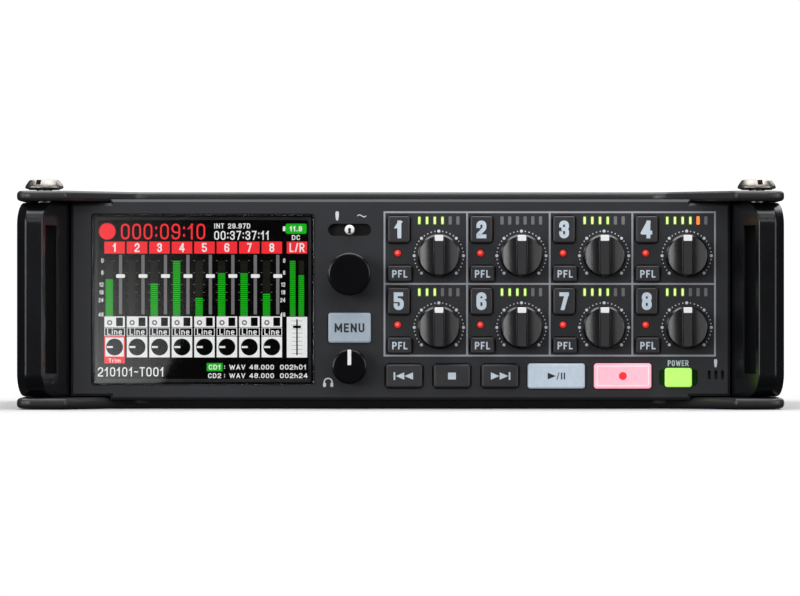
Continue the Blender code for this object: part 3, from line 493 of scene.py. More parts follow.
def lit(name, base, glow, strength, speckle=900.0, shine=0.5):
    """A translucent surface lit from behind, a little uneven."""
    made, tree, shader = nodes_of(name)
    fine = noise(tree, speckle, 3.0, 0.5)
    darker = tuple(0.92 * part for part in base)
    weaker = tuple(0.9 * part for part in glow)
    tree.links.new(ramp(tree, fine, base, darker), shader.inputs["Base Color"])
    tree.links.new(ramp(tree, fine, glow, weaker), shader.inputs["Emission Color"])
    tree.links.new(spread(tree, fine, 0.35, 0.45), shader.inputs["Roughness"])
    shader.inputs["Emission Strength"].default_value = strength
    shader.inputs["Specular IOR Level"].default_value = shine
    return made


def brushed(name, dark, light, smooth, rough):
    """Bare metal with fine drawn lines."""
    made, tree, shader = nodes_of(name)
    lines = noise(tree, 2500.0, 2.0, 0.5, stretch=(1.0, 0.06, 1.0))
    slow = noise(tree, 400.0, 3.0)
    tree.links.new(ramp(tree, slow, dark, light), shader.inputs["Base Color"])
    tree.links.new(spread(tree, lines, smooth, rough), shader.inputs["Roughness"])
    shader.inputs["Metallic"].default_value = 1.0
    bumped(tree, shader, lines, 0.15, 0.01)
    return made


def window_glass():
    """Clear glass with faint smears."""
    made, tree, shader = nodes_of("window_glass")
    smear = noise(tree, 70.0, 4.0, stretch=(1.0, 1.0, 0.5))
    tree.links.new(ramp(tree, smear, (0.93, 0.94, 0.95), (1.0, 1.0, 1.0)), shader.inputs["Base Color"])
    tree.links.new(spread(tree, smear, 0.0, 0.03), shader.inputs["Roughness"])
    shader.inputs["Transmission Weight"].default_value = 1.0
    shader.inputs["IOR"].default_value = 1.45
    return made


def circuit_board():
    """Green solder mask over faint square traces."""
    made, tree, shader = nodes_of("circuit_board")
    place = node(tree, "ShaderNodeTexCoord")
    cells = node(tree, "ShaderNodeTexBrick", {
        "Scale": 260.0,
        "Color1": (0.008, 0.085, 0.035, 1.0),
        "Color2": (0.012, 0.110, 0.045, 1.0),
        "Mortar": (0.040, 0.200, 0.090, 1.0),
    })
    tree.links.new(place.outputs["Object"], cells.inputs["Vector"])
    tree.links.new(cells.outputs["Color"], shader.inputs["Base Color"])
    tree.links.new(spread(tree, noise(tree, 150.0), 0.25, 0.45), shader.inputs["Roughness"])
    bumped(tree, shader, cells.outputs["Fac"], 0.3, 0.03)
    return made


COATS = (  # name, darker and lighter colour, roughness from and to, grains per metre, relief, shine
    ("cover_coat", (0.0185, 0.019, 0.0205), (0.0215, 0.022, 0.0235), 0.31, 0.35, 3600.0, 0.03),
    ("panel_coat", (0.0235, 0.0243, 0.0285), (0.0275, 0.0284, 0.033), 0.44, 0.54, 5200.0, 0.02, 0.3),
    ("handle_plastic", (0.0026, 0.0029, 0.0042), (0.0038, 0.0041, 0.0056), 0.20, 0.25, 4200.0, 0.012),
    ("chassis_coat", (0.012, 0.012, 0.013), (0.018, 0.018, 0.019), 0.40, 0.52, 4200.0, 0.04),
    ("key_plastic", (0.0235, 0.0225, 0.0255), (0.029, 0.028, 0.031), 0.34, 0.44, 4800.0, 0.01),
    ("knob_plastic", (0.0016, 0.0017, 0.0026), (0.0024, 0.0025, 0.0034), 0.17, 0.21, 5200.0, 0.005, 0.35),
    ("gloss_black_scoop", (0.0016, 0.0017, 0.0026), (0.0024, 0.0025, 0.0034), 0.23, 0.27, 5200.0, 0.005,
     0.75),
    ("grip_satin", (0.011, 0.011, 0.014), (0.014, 0.014, 0.017), 0.50, 0.60, 5200.0, 0.01),
    ("door_rubber", (0.010, 0.010, 0.010), (0.016, 0.016, 0.016), 0.60, 0.75, 2600.0, 0.03),
    ("jack_plastic", (0.008, 0.008, 0.008), (0.013, 0.013, 0.013), 0.35, 0.50, 3000.0, 0.02),
    ("sled_plastic", (0.016, 0.016, 0.016), (0.024, 0.024, 0.024), 0.50, 0.62, 2400.0, 0.04),
    # slot_black paints the shade in the key gaps and the tone slot, and the dark centre of a reflection on
    # the tone stub
    ("slot_black", (0.002, 0.002, 0.002), (0.004, 0.004, 0.004), 0.60, 0.80, 3000.0, 0.01),
    ("print_lilac", (0.300, 0.310, 0.350), (0.360, 0.370, 0.410), 0.45, 0.55, 6000.0, 0.005),
    ("print_pale", (0.520, 0.610, 0.700), (0.600, 0.690, 0.770), 0.45, 0.55, 6000.0, 0.005),
    ("print_white", (0.640, 0.660, 0.710), (0.720, 0.740, 0.790), 0.45, 0.55, 6000.0, 0.005),
    ("print_dark", (0.010, 0.014, 0.020), (0.016, 0.020, 0.027), 0.50, 0.60, 6000.0, 0.005),
    ("pointer_white", (0.780, 0.790, 0.810), (0.880, 0.880, 0.900), 0.35, 0.45, 5000.0, 0.005),
    ("unlit_bar", (0.150, 0.150, 0.155), (0.200, 0.200, 0.205), 0.30, 0.40, 5000.0, 0.005),
    ("screen_black", (0.001, 0.001, 0.001), (0.002, 0.002, 0.002), 0.60, 0.70, 4000.0, 0.002, 0.0),
)
METALS = (  # name, darker and lighter colour, roughness from and to
    ("dark_screw", (0.055, 0.055, 0.056), (0.08, 0.08, 0.082), 0.36, 0.46),
    ("nickel_plate", (0.21, 0.20, 0.182), (0.31, 0.295, 0.27), 0.26, 0.38),
    ("steel", (0.42, 0.42, 0.43), (0.60, 0.60, 0.61), 0.25, 0.40),
    ("gold_contact", (0.70, 0.48, 0.18), (0.85, 0.62, 0.26), 0.20, 0.35),
)
GLOWS = (  # name, colour of the surface, colour and strength of its light, speckles per metre, shine
    ("lit_blue_grey", (0.40, 0.46, 0.53), (0.42, 0.50, 0.58), 0.42),
    ("lit_dim_blue_grey", (0.30, 0.35, 0.40), (0.34, 0.43, 0.52), 0.30),
    ("lit_pink", (0.60, 0.30, 0.34), (1.00, 0.42, 0.52), 0.80),
    ("lit_pink_edge", (0.70, 0.45, 0.50), (1.00, 0.55, 0.64), 0.84),
    ("record_red", (0.75, 0.02, 0.03), (0.85, 0.015, 0.03), 0.75),
    ("lit_green", (0.30, 0.55, 0.12), (0.47, 1.00, 0.14), 0.75),
    ("bar_green", (0.12, 0.24, 0.02), (0.26, 0.60, 0.03), 0.42),
    ("bar_core", (0.40, 0.50, 0.20), (0.78, 1.00, 0.28), 1.00),
    ("bar_orange", (0.60, 0.20, 0.02), (1.00, 0.21, 0.02), 0.95),
    ("led_red", (0.45, 0.01, 0.01), (0.62, 0.018, 0.012), 0.70),
    ("led_core", (0.60, 0.10, 0.08), (1.00, 0.10, 0.06), 0.85),
    ("screen_white", (0.1, 0.1, 0.1), (0.90, 0.90, 0.90), 0.95, 3000.0, 0.0),
    ("screen_red", (0.1, 0.0, 0.0), (1.00, 0.035, 0.045), 0.95, 3000.0, 0.0),
    ("screen_green", (0.0, 0.1, 0.0), (0.010, 0.48, 0.012), 0.95, 3000.0, 0.0),
    ("screen_grey", (0.02, 0.02, 0.02), (0.18, 0.17, 0.175), 0.95, 3000.0, 0.0),
    ("screen_dim", (0.01, 0.01, 0.01), (0.007, 0.007, 0.004), 0.95, 3000.0, 0.0),
)
LOOK = {"window_glass": window_glass(), "circuit_board": circuit_board()}
for make, rows in ((coated, COATS), (brushed, METALS), (lit, GLOWS)):
    LOOK.update({row[0]: make(*row) for row in rows})


# ---------------------------------------------------------------- covers, chassis, handles

EAR_INNER_X = 77.7
EAR_ROOT_X = 61.2
EAR_CORNER_R = 3.5
REAR_CORNER_R = 5.0
COVER_EDGE_R = 0.9
COVER_SCREW_X = 81.0
SINK_R = 2.8
SINK_DEPTH = 0.12
POST_X = 54.0  # the posts under the main board
POST_Y = (-38.0, -2.0)


def cover_outline():
    """Plan of a cover plate with its two ears."""
    low, high = box("top_cover")
    straight = box("chassis")[0].y + 4.7
    right = [
        (EAR_ROOT_X, straight, 5.0),
        (EAR_INNER_X, low.y, 1.1),
        (high.x, low.y, EAR_CORNER_R),
        (high.x, high.y, REAR_CORNER_R),
    ]
    left = [(-x, y, radius) for x, y, radius in reversed(right)]
    return rounded_polygon(right + left, 10)


def flush_screw(name, x, y, face, inward):
    """A countersunk screw head with a hexagon socket."""
    profile = ((0.9, 1.75), (SINK_R - 0.25, 0.25), (SINK_R - 0.25, 0.08), (SINK_R - 0.35, 0.0))
    head = along_z([(circle(radius, 32), face + inward * (SINK_DEPTH + depth)) for radius, depth in profile])
    socket = post(0.0, 0.0, 1.25, face - inward, face + inward * 1.1, 6)
    piece(name, carved(head, [socket]), "dark_screw", slot="screw", at=(x, y, 0))


def cover(name, replaced, outer, inner, screws, holes=()):
    """A cover plate with rounded edges, its screws' seats and other holes."""
    outline = cover_outline()
    inward = 1 if inner > outer else -1
    steps = edge_steps(COVER_EDGE_R, 5)
    sections = [(inset(outline, i), outer + inward * d) for i, d in steps]
    sections += [(inset(outline, i), inner - inward * d) for i, d in reversed(steps)]
    tools = list(holes)
    seat = ((SINK_R + 0.5, -0.5), (SINK_R - 1.6, 1.6))
    for x, y in screws:
        levels = [(circle(radius, 32, x, y), outer + inward * depth) for radius, depth in seat]
        tools.append(along_z(levels))
    piece(name, carved(along_z(sections), tools), "cover_coat", replaces=replaced)


def covers():
    """Both cover plates with their flush screws, and the posts under the main board."""
    low, high = box("top_cover")
    floor_z, inside_z = (corner.z for corner in box("bottom_cover"))
    thick = high.z - low.z
    rows = (box("chassis")[0].y + 10.7, high.y - 7.0)
    screws = [(side * COVER_SCREW_X, y) for side in SIDES for y in rows]
    ears = [middle(f"handle_screw_{side}") for side in ("left", "right")]
    under = screws + [(ear.x, ear.y) for ear in ears]
    holes = [post(ear.x, ear.y, 2.1, low.z - 1.0, high.z + 1.0) for ear in ears]
    cover("top_plate", "top_cover", high.z, low.z, screws, holes)
    cover("bottom_plate", "bottom_cover", floor_z, floor_z + thick, under)
    posts = [post(side * POST_X, y, 3.0, thick / 2, inside_z) for side in SIDES for y in POST_Y]
    piece("board_posts", bundle(posts), "steel", slot="cover")
    for word, places, face, inward in (("top", screws, high.z, -1), ("bottom", under, floor_z, 1)):
        for number, (x, y) in enumerate(places, 1):
            flush_screw(f"{word}_screw_{number}", x, y, face, inward)


SHOULDER_R = 5.15
STRAP_HALF_H = 17.25


def handle_plan(recess):
    """Plan of the right handle where its front lies back by recess."""
    low, high = box("handle_right")
    face = FRONT + recess
    share = (PANEL_FACE - face) / (PANEL_FACE - FRONT)
    slant = low.x + share * (high.x - 6.04 - low.x)
    side = high.x - 0.28 * recess
    corners = [
        (slant, face, 0.45),
        (side - 2.1, face, 0.6),
        (side, face + 3.2, 2.0),
        (side, high.y, 0.4),
        (low.x, high.y, 0.0),
        (low.x, PANEL_FACE, 0.8),
    ]
    return rounded_polygon(corners, 8)


def strap_slot_tool():
    """The strap's space through the right handle, from its slanted inner wall to outside."""
    outside = HALF_W + 1.0
    plan = [
        (81.04, -69.24), (82.4, -68.6), (84.6, -65.1), (outside, -64.1), (outside, -57.2),
        (80.6, -57.2), (80.6, -61.5), (79.8, -63.1), (78.44, -63.74),
    ]
    return along_z([(plan, MID_Z - STRAP_HALF_H), (plan, MID_Z + STRAP_HALF_H)])


def handles():
    """Both handles, with their slots' edges rounded."""
    low, high = box("handle_right")
    flat = (high.z - low.z) / 2 - SHOULDER_R
    upper = [(SHOULDER_R - u, flat + v) for u, v in arc(0, 0, SHOULDER_R, 0, 90, 10)]
    levels = [(recess, -z) for recess, z in reversed(upper)] + upper
    for side, word in ((1, "right"), (-1, "left")):
        shape = along_z([(handle_plan(recess), MID_Z + z) for recess, z in levels])
        mesh = carved(shape, [strap_slot_tool()], bevel=0.38, angle=38.0)
        if side < 0:
            mesh.transform(Matrix.Scale(-1, 4, (1, 0, 0)))
            mesh.flip_normals()
        piece(f"{word}_handle", mesh, "handle_plastic", replaces=f"handle_{word}", sharp=45.0)


def handle_screws():
    """The large slotted screws on top of the ears."""
    profile = (
        (1.8, -6.2), (1.8, 0.3), (3.55, 0.3), (3.65, 0.42), (4.3, 0.6), (4.48, 0.8), (4.47, 1.0),
        (4.3, 1.4), (4.0, 1.85), (3.75, 2.2), (3.6, 2.42), (3.4, 2.58), (3.1, 2.64), (1.0, 2.65),
    )
    top = box("top_cover")[1].z
    for side, turn in (("left", -18.0), ("right", 9.0)):
        shape = along_z([(circle(radius, 72), z) for radius, z in profile])
        slot = spun(block((-0.6, -6.0, 1.45), (0.6, 6.0, 4.0)), turn)
        centre = middle(f"handle_screw_{side}")
        piece(f"{side}_thumb_screw", carved(shape, [slot], bevel=0.08, segments=2), "nickel_plate",
              replaces=f"handle_screw_{side}", at=(centre.x, centre.y, top))


# ---------------------------------------------------------------- keys and knobs

FLANGE = 0.5  # a key's flange stands out this far behind the panel
TRANSPORT = {"rewind_key": "key_plastic", "stop_key": "key_plastic", "forward_key": "key_plastic",
             "play_key": "lit_blue_grey", "record_key": "lit_pink", "menu_key": "lit_dim_blue_grey"}


def key_cap(name, look, edge):
    """A key cap with rounded edges and its flange."""
    (low, high), centre = box(name), middle(name)

    def outline(grow, corner=0.6):
        width, height = high.x - low.x + 2 * grow, high.z - low.z + 2 * grow
        return rounded_rect(width, height, corner, 6, centre.x, centre.z)

    back = high.y - 0.8
    sections = [(outline(-FLANGE - i, 0.6 - i), low.y + depth) for i, depth in edge_steps(edge, 4)]
    sections += [(outline(-FLANGE), back), (outline(0.0), back), (outline(0.0), high.y)]
    piece(f"{name}_cap", along_y(sections), look, name, replaces=name)


def key_gaps(name, keys):
    """Painted shade in the thin gap round each key: a black frame sunk in the panel's aperture."""
    shapes = []
    for key in keys:
        centre, cap = middle(key), size(key) - Vector((1, 1, 1)) * 2 * FLANGE
        outer, inner = [
            rounded_rect(cap.x + grow, cap.z + grow, radius, 6, centre.x, centre.z)
            for grow, radius in ((0.56, 0.85), (0.16, 0.65))
        ]
        # the black frame stands in for the shade that falls into each key's gap
        shapes.append(ring_shape(outer, inner, PANEL_FACE + 0.5, 2.0))
    piece(name, bundle(shapes), "slot_black", slot="panel")


def channel_keys():
    """The number keys and the PFL keys with their lettering."""
    for channel in CHANNELS:
        for word, text, height, stretch, weight in (
            ("channel", str(channel), 4.15, 1.12, 0.22),
            ("pfl", "PFL", 1.75, 1.22, 0.18),
        ):
            key = f"{word}_key_{channel}"
            key_cap(key, "key_plastic", 0.4)
            x, z, front = middle(key).x, middle(key).z, box(key)[0].y - 0.02
            label = lettering(text, height, x, z, front, weight=weight, stretch=stretch)
            piece(f"{key}_label", label, "print_pale", key, "stub")
    key_gaps("channel_key_gap_shade", [f"{word}_key_{n}" for word in ("channel", "pfl") for n in CHANNELS])


def triangle(x, width, height, point=1):
    """A thin triangle that points to +X or -X."""
    back, tip = x - point * width / 2, x + point * width / 2
    return plate([(back, height / 2), (back, -height / 2), (tip, 0.0)], 0.0)


def bar(x, z, width, height, front=0.0, lean=0.0):
    """A thin upright bar, leaning to the right by lean at its top."""
    corners = ((-1, -1), (1, -1), (1, 1), (-1, 1))
    return plate([(x + u * width / 2 + v * lean / 2, z + v * height / 2) for u, v in corners], front)


def transport_keys():
    """Rewind, stop, forward, play and record, and MENU."""
    for key, look in TRANSPORT.items():
        key_cap(key, look, 0.5)
    key_gaps("transport_key_gap_shade", list(TRANSPORT))
    front = box("rewind_key")[0].y - 0.02
    rim = rounded_rect(size("record_key").x - 2.05, size("record_key").z - 2.05, 0.3)
    for name, key, look, slot, shapes in (
        ("rewind_icon", "rewind_key", "print_pale", "stub",
         [bar(-2.25, 0.0, 0.4, 1.8)] + [triangle(x, 2.0, 1.7, -1) for x in (-0.95, 1.1)]),
        ("stop_icon", "stop_key", "print_pale", "stub", [bar(0.0, 0.0, 1.85, 1.6)]),
        ("forward_icon", "forward_key", "print_pale", "stub",
         [bar(2.25, 0.0, 0.4, 1.8)] + [triangle(x, 2.0, 1.7) for x in (-1.1, 0.95)]),
        ("play_pause_icon", "play_key", "print_dark", "key",
         [triangle(-1.1, 1.9, 1.6), bar(0.35, 0.0, 0.22, 1.7, lean=0.5)]
         + [bar(x, 0.0, 0.32, 1.6) for x in (1.2, 1.85)]),
        ("record_icon", "record_key", "record_red", "lit_red", [plate(circle(0.93, 48), 0.0)]),
        ("record_key_rim", "record_key", "lit_pink_edge", "lit_red",
         [ring_shape(rim, inset(rim, 0.25), 0.0)]),
        ("menu_label", "menu_key", "print_dark", "key",
         [lettering("MENU", 2.1, 0.0, 0.0, 0.0, weight=0.2, stretch=1.26)]),
    ):
        centre = middle(key)
        piece(name, moved(bundle(shapes), centre.x, front, centre.z), look, key, slot)


KNOB_FACE = -5.6
KNOB_RIDGE = 1.08
KNOB_TOP = 6.5
KNOB_REACH = 5.2


def knob_side(side):
    """A cutter that lets one side of a gain knob's face fall away from the grip ridge."""
    start = KNOB_RIDGE + 0.22
    outline = [(KNOB_REACH, -7.0), (KNOB_RIDGE, -7.0), (KNOB_RIDGE, KNOB_FACE - 0.25)]
    for share in (step / 8 for step in range(9)):
        outline.append((start + share * (KNOB_REACH - start), KNOB_FACE + 0.78 * share * share))
    outline = [(side * x, y) for x, y in outline]
    return along_z([(outline, -7.0), (outline, 7.0)])


def gain_knob_mesh():
    """A knob with a grip ridge between two sides that fall away from it."""
    profile = [(4.55 - i, -KNOB_TOP + d) for i, d in edge_steps(0.25)]
    profile += [(4.6, -3.0), (5.0, -2.7), (5.04, -0.36), (2.5, -0.36), (2.5, 4.6)]
    return carved(turned(profile, 96), [knob_side(side) for side in SIDES], bevel=0.1, angle=30.0)


def gain_knobs():
    """The eight gain knobs, each with a satin grip and a white pointer cap."""
    knob = gain_knob_mesh()
    grip = rounded_rect(1.9, 8.3, 0.25, 4, 0.0, -0.2)
    cap = rounded_rect(1.98, 1.32, 0.2, 4, 0.0, 4.05)
    pointer = [(inset(cap, i), -KNOB_TOP - 0.1 + d) for i, d in edge_steps(0.08, 3)]
    pointer.append((cap, -KNOB_TOP + 1.6))
    for channel in CHANNELS:
        name = f"gain_knob_{channel}"
        at = (middle(name).x, PANEL_FACE, middle(name).z)
        piece(f"{name}_cap", knob, "gloss_black_scoop", name, replaces=name, at=at, sharp=40.0)
        piece(f"{name}_grip", plate(grip, -KNOB_TOP - 0.02, 0.42), "grip_satin", name, "key", at=at)
        piece(f"{name}_pointer", along_y(pointer), "pointer_white", name, "stub", at=at)


def round_knob(name, replaced, radius, height, lift, grooves, end):
    """A plain round knob with a finely grooved side."""
    count = grooves * 4
    profile = [(radius - 1.2, -height + 0.06)]
    profile += [(radius - i, -height + d) for i, d in edge_steps(0.5, 6)]
    sections = [(circle(r, count), y) for r, y in profile]
    start, stop = -height + 1.2, -lift - 0.5
    for y, depth in ((start, 0.0), (start + 0.15, 0.14), (stop - 0.15, 0.14), (stop, 0.0)):
        ring = []
        for turn in ((k + 0.5) * 2 * math.pi / count for k in range(count)):
            r = radius - depth * (0.5 - 0.5 * math.cos(turn * grooves))
            ring.append((r * math.cos(turn), r * math.sin(turn)))
        sections.append((ring, y))
    sections += [(circle(r, count), y) for r, y in end]
    at = (middle(replaced).x, PANEL_FACE, middle(replaced).z)
    piece(name, along_y(sections), "knob_plastic", replaced, replaces=replaced, at=at)


def select_knob():
    """The wide menu knob."""
    round_knob("select_cap", "select_knob", 5.0, 9.5, 0.9, 48, [(5.0, -0.9), (3.3, -0.9), (3.3, -6.5)])


def headphone_knob():
    """The headphone level knob with its white pointer."""
    end = [(4.05, -0.36), (2.5, -0.36), (2.5, 4.6)]
    round_knob("headphone_cap", "headphone_knob", 4.05, 6.5, 0.36, 40, end)
    centre = middle("headphone_knob")
    line = rounded_rect(0.85, 3.6, 0.1, 4, centre.x, centre.z + 2.15)
    piece("headphone_pointer", plate(line, PANEL_FACE - 6.56, 0.5), "pointer_white", "headphone_knob", "stub")


def power_slider():
    """The lit cap of the power switch."""
    centre, face = middle("power_slider"), box("power_slider")[0].y
    outline = rounded_rect(6.3, 4.45, 0.6, 6, centre.x, centre.z)
    sections = []
    for i, depth in edge_steps(0.45, 5):
        shrunk = rounded_rect(6.3 - 2 * i, 4.45 - 2 * i, 0.6 - i, 6, centre.x, centre.z)
        sections.append((shrunk, face + depth))
    sections.append((outline, PANEL_FACE - 0.3))
    piece("power_slider_cap", along_y(sections), "lit_green", "power_slider", replaces="power_slider")


def tone_slider():
    """The stub of the tone switch with a painted reflection on its face, and a black plate behind its slot
    that paints the slot's shade.
    """
    centre = middle("tone_slider")
    at = (centre.x, PANEL_FACE, centre.z)
    profile = [(1.15 - i, -1.2 + d) for i, d in edge_steps(0.5, 6)] + [(1.15, 3.4)]
    # the stub's white paints the bright ring of a reflection on the lever
    piece("tone_stub", turned(profile, 48), "pointer_white", "tone_slider", replaces="tone_slider", at=at)
    # a black dot with a tail below it paints the dark centre of that reflection
    skirt = [(-0.18, 0.0), (-0.4, -0.85), (0.4, -0.85), (0.18, 0.0)]
    painted_reflection = [plate(circle(0.36, 24, 0.0, 0.05), -1.23, 0.1), plate(skirt, -1.235, 0.1)]
    piece("tone_stub_painted_reflection", bundle(painted_reflection), "slot_black", "tone_slider", "key", at=at)
    # a black plate behind the slot paints the shade inside it
    hole = rounded_rect(10.0, 2.8, 1.39, 8, centre.x, centre.z)
    piece("slot_floor_shade", plate(hole, PANEL_FACE + 2.6, 0.3), "slot_black", slot="panel")


# ---------------------------------------------------------------- printing and lights on the panel


def cell_corner(channel):
    """Left and top of a channel's cell."""
    knob = middle(f"gain_knob_{channel}")
    return knob.x - KNOB_IN_CELL[0], knob.z - KNOB_IN_CELL[1]


def grid_lines():
    """The printed grid round the channel strips."""
    left, top = cell_corner(1)
    line, tall = 0.42, 2 * CELL_H
    shapes = [bar(left + CELL_W * k, top - CELL_H, line, tall + line, PRINT_FACE) for k in range(5)]
    for column in range(4):
        x = left + CELL_W * (column + 0.5)
        shapes += [bar(x, top - CELL_H * k, CELL_W - line, line, PRINT_FACE) for k in range(3)]
    piece("grid_lines", bundle(shapes), "print_lilac", slot="stub")


def knob_scales():
    """Rings of dots round the gain knobs."""
    shapes = []
    for channel in CHANNELS:
        knob = middle(f"gain_knob_{channel}")
        for step in range(31):
            turn = math.radians(-135 + 9 * step)
            dot, count = (0.36, 20) if step % 5 == 0 else (0.15, 10)
            x, z = knob.x + 5.75 * math.sin(turn), knob.z + 5.75 * math.cos(turn)
            shapes.append(plate(circle(dot, count, x, z), PRINT_FACE))
    piece("knob_scales", bundle(shapes), "print_white", slot="stub")


LIT_BARS = {1: 4, 2: 0, 3: 4, 4: 4, 5: 3, 6: 4, 7: 4, 8: 3}


def level_bars():
    """Six level lights in each cell; some lit green, one orange, the rest unlit."""
    groups = {"bar_green": [], "bar_core": [], "bar_orange": [], "unlit_bar": []}
    front = PANEL_FACE - 0.05
    for channel in CHANNELS:
        left, top = cell_corner(channel)
        for k in range(6):
            look = "bar_green" if k < LIT_BARS[channel] else "unlit_bar"
            if channel == 4 and k == LIT_BARS[channel]:
                look = "bar_orange"
            x, z = left + 8.15 + 1.8 * k, top - 1.92
            groups[look].append(plate(rounded_rect(0.74, 1.95, 0.2, 4, x, z), front, 0.06))
            if look == "bar_green":
                groups["bar_core"].append(plate(rounded_rect(0.42, 1.6, 0.18, 4, x, z), front - 0.03, 0.06))
    names = ("bar_green", "bar_core", "bar_orange", "off_bar")
    slots = ("lit_green", "lit_green", "lit_red", "key")
    for name, slot, (look, shapes) in zip(names, slots, groups.items()):
        piece(f"level_lights_{name}", bundle(shapes), look, slot=slot)


def record_lights():
    """A small red dome in each cell."""
    dome = [(u, -0.375 * v) for u, v in arc(0, 0, 0.8, 85, 0, 5)]
    domes, cores, rims = [], [], []
    for channel in CHANNELS:
        left, top = cell_corner(channel)
        x, z = left + 3.1, top - 9.55
        domes.append(moved(turned(dome, 32), x, PANEL_FACE, z))
        cores.append(plate(circle(0.34, 24, x - 0.08, z + 0.08), PANEL_FACE - 0.34, 0.1))
        rims.append(ring_shape(circle(1.02, 32, x, z), circle(0.78, 32, x, z), PANEL_FACE - 0.03, 0.05))
    piece("record_lights", bundle(domes), "led_red", slot="lit_red")
    piece("record_light_cores", bundle(cores), "led_core", slot="lit_red")
    piece("record_light_rims", bundle(rims), "slot_black", slot="key")


def microphone_icon(x, z, scale):
    """A tapered capsule shape."""
    right = [(0.24, -1.1), (0.42, 0.0), (0.42, 0.85), (0.24, 1.1)]
    points = right + [(-u, v) for u, v in reversed(right)]
    return plate([(x + u * scale, z + v * scale) for u, v in points], PRINT_FACE)


def wave_icon(x, z):
    """One period of a wave as a ribbon."""
    width, rise, half_line, steps = 2.1, 0.225, 0.12, 24
    shares = [k / steps for k in range(steps + 1)]
    wave = [(x + width * (share - 0.5), z + rise * math.sin(2 * math.pi * share)) for share in shares]
    lower = [(u, v - half_line) for u, v in wave]
    upper = [(u, v + half_line) for u, v in wave]
    return plate(lower + upper[::-1], PRINT_FACE)


def headphone_icon(x, z):
    """An arch with two ear pads."""
    arch = arc(x, z, 1.1, -10, 190, 20) + arc(x, z, 0.78, 190, -10, 20)
    pads = [rounded_rect(0.66, 1.0, 0.2, 4, x + side * 0.86, z - 0.56) for side in SIDES]
    return bundle([plate(arch, PRINT_FACE)] + [plate(pad, PRINT_FACE - 0.005) for pad in pads])


def panel_marks():
    """Icons and the POWER label."""
    tone, power, phone = middle("tone_slider"), middle("power_slider"), middle("headphone_knob")
    marks = [
        microphone_icon(tone.x - 2.9, tone.z + 3.25, 0.95),
        wave_icon(tone.x + 2.85, tone.z + 3.25),
        headphone_icon(phone.x - 5.0, phone.z - 3.75),
        microphone_icon(73.6, power.z + 3.35, 0.85),
    ]
    piece("panel_icons", bundle(marks), "print_white", slot="stub")
    label = lettering("POWER", 1.35, power.x, power.z + 3.35, PRINT_FACE, weight=0.17, stretch=1.05)
    piece("power_label", label, "print_pale", slot="stub")


# ---------------------------------------------------------------- the screen

STRIP_PITCH = 5.25
STRIP_W = 4.78
FIRST_STRIP = -23.07
HEADER_Z = 12.15  # row of the channel numbers, above the window's centre
DIAL_Z = -11.1
METER_LOW = -3.9
METER_SPAN = 13.0
METER_STEPS = 27
METERS = {1: 0.68, 2: 0.0, 3: 0.60, 4: 1.0, 5: 0.36, 6: 0.81, 7: 0.81, 8: 0.43}
MARKS = {"0": 1.0, "6": 0.784, "12": 0.57, "18": 0.43, "24": 0.29, "48": 0.03}
LAYER = 0.045
SCREEN = {name: [] for name in ("white", "red", "green", "grey", "dim", "black")}


def on_screen(layer):
    """Front of a screen layer: 0 lies on the module, and higher ones nearer the glass."""
    return SCREEN_FACE - LAYER * (layer + 1)


def tile(colour, x, z, width, height, layer=1, corner=0.02):
    """A rectangle on the screen, from the window's centre."""
    outline = rounded_rect(width, height, corner, 3, WINDOW.x + x, MID_Z + z)
    SCREEN[colour].append(plate(outline, on_screen(layer)))


def frame_tile(colour, x, z, width, height, line, layer):
    """A rectangle's outline on the screen, from the window's centre."""
    outer = rounded_rect(width, height, 0.02, 3, WINDOW.x + x, MID_Z + z)
    SCREEN[colour].append(ring_shape(outer, inset(outer, line), on_screen(layer)))


def disc(colour, x, z, radius, layer, hole=0.0, count=48):
    """A disc or a ring on the screen, from the window's centre."""
    outer, inner = [circle(r, count, WINDOW.x + x, MID_Z + z) for r in (radius, hole)]
    front = on_screen(layer)
    SCREEN[colour].append(ring_shape(outer, inner, front) if hole else plate(outer, front))


def words(colour, text, height, x, z, weight, stretch, layer=1, align="CENTER"):
    """Text on the screen, from the window's centre."""
    x, z, front = WINDOW.x + x, MID_Z + z, on_screen(layer)
    SCREEN[colour].append(lettering(text, height, x, z, front, weight, stretch, align, steps=2))


def meter(x, width, share):
    """A level meter's dark column, lit from below to its share."""
    tile("dim", x, METER_LOW + METER_SPAN / 2, width, METER_SPAN)
    for k in range(int(share * METER_STEPS)):
        tile("green", x, METER_LOW + METER_SPAN * (k + 0.5) / METER_STEPS, width, 0.32, 2)


def screen_header():
    """Counters, battery gauge and the recording dot."""
    disc("red", -22.4, 15.95, 1.95, 1)
    words("red", "000:09:10", 3.75, -19.2, 15.9, 0.11, 1.09, align="LEFT")
    words("white", "INT 29.97D", 1.2, 2.6, 17.2, 0.17, 1.28, align="LEFT")
    words("white", "00:37:37:11", 2.1, 2.6, 15.0, 0.13, 1.10, align="LEFT")
    tile("green", 21.75, 16.55, 4.9, 2.35, 1, 0.4)
    tile("white", 18.95, 16.55, 0.6, 1.1, 1, 0.1)
    words("white", "11.9", 1.25, 21.7, 16.55, 0.2, 1.3, 2)
    words("white", "DC", 1.15, 21.7, 14.5, 0.17, 1.4)


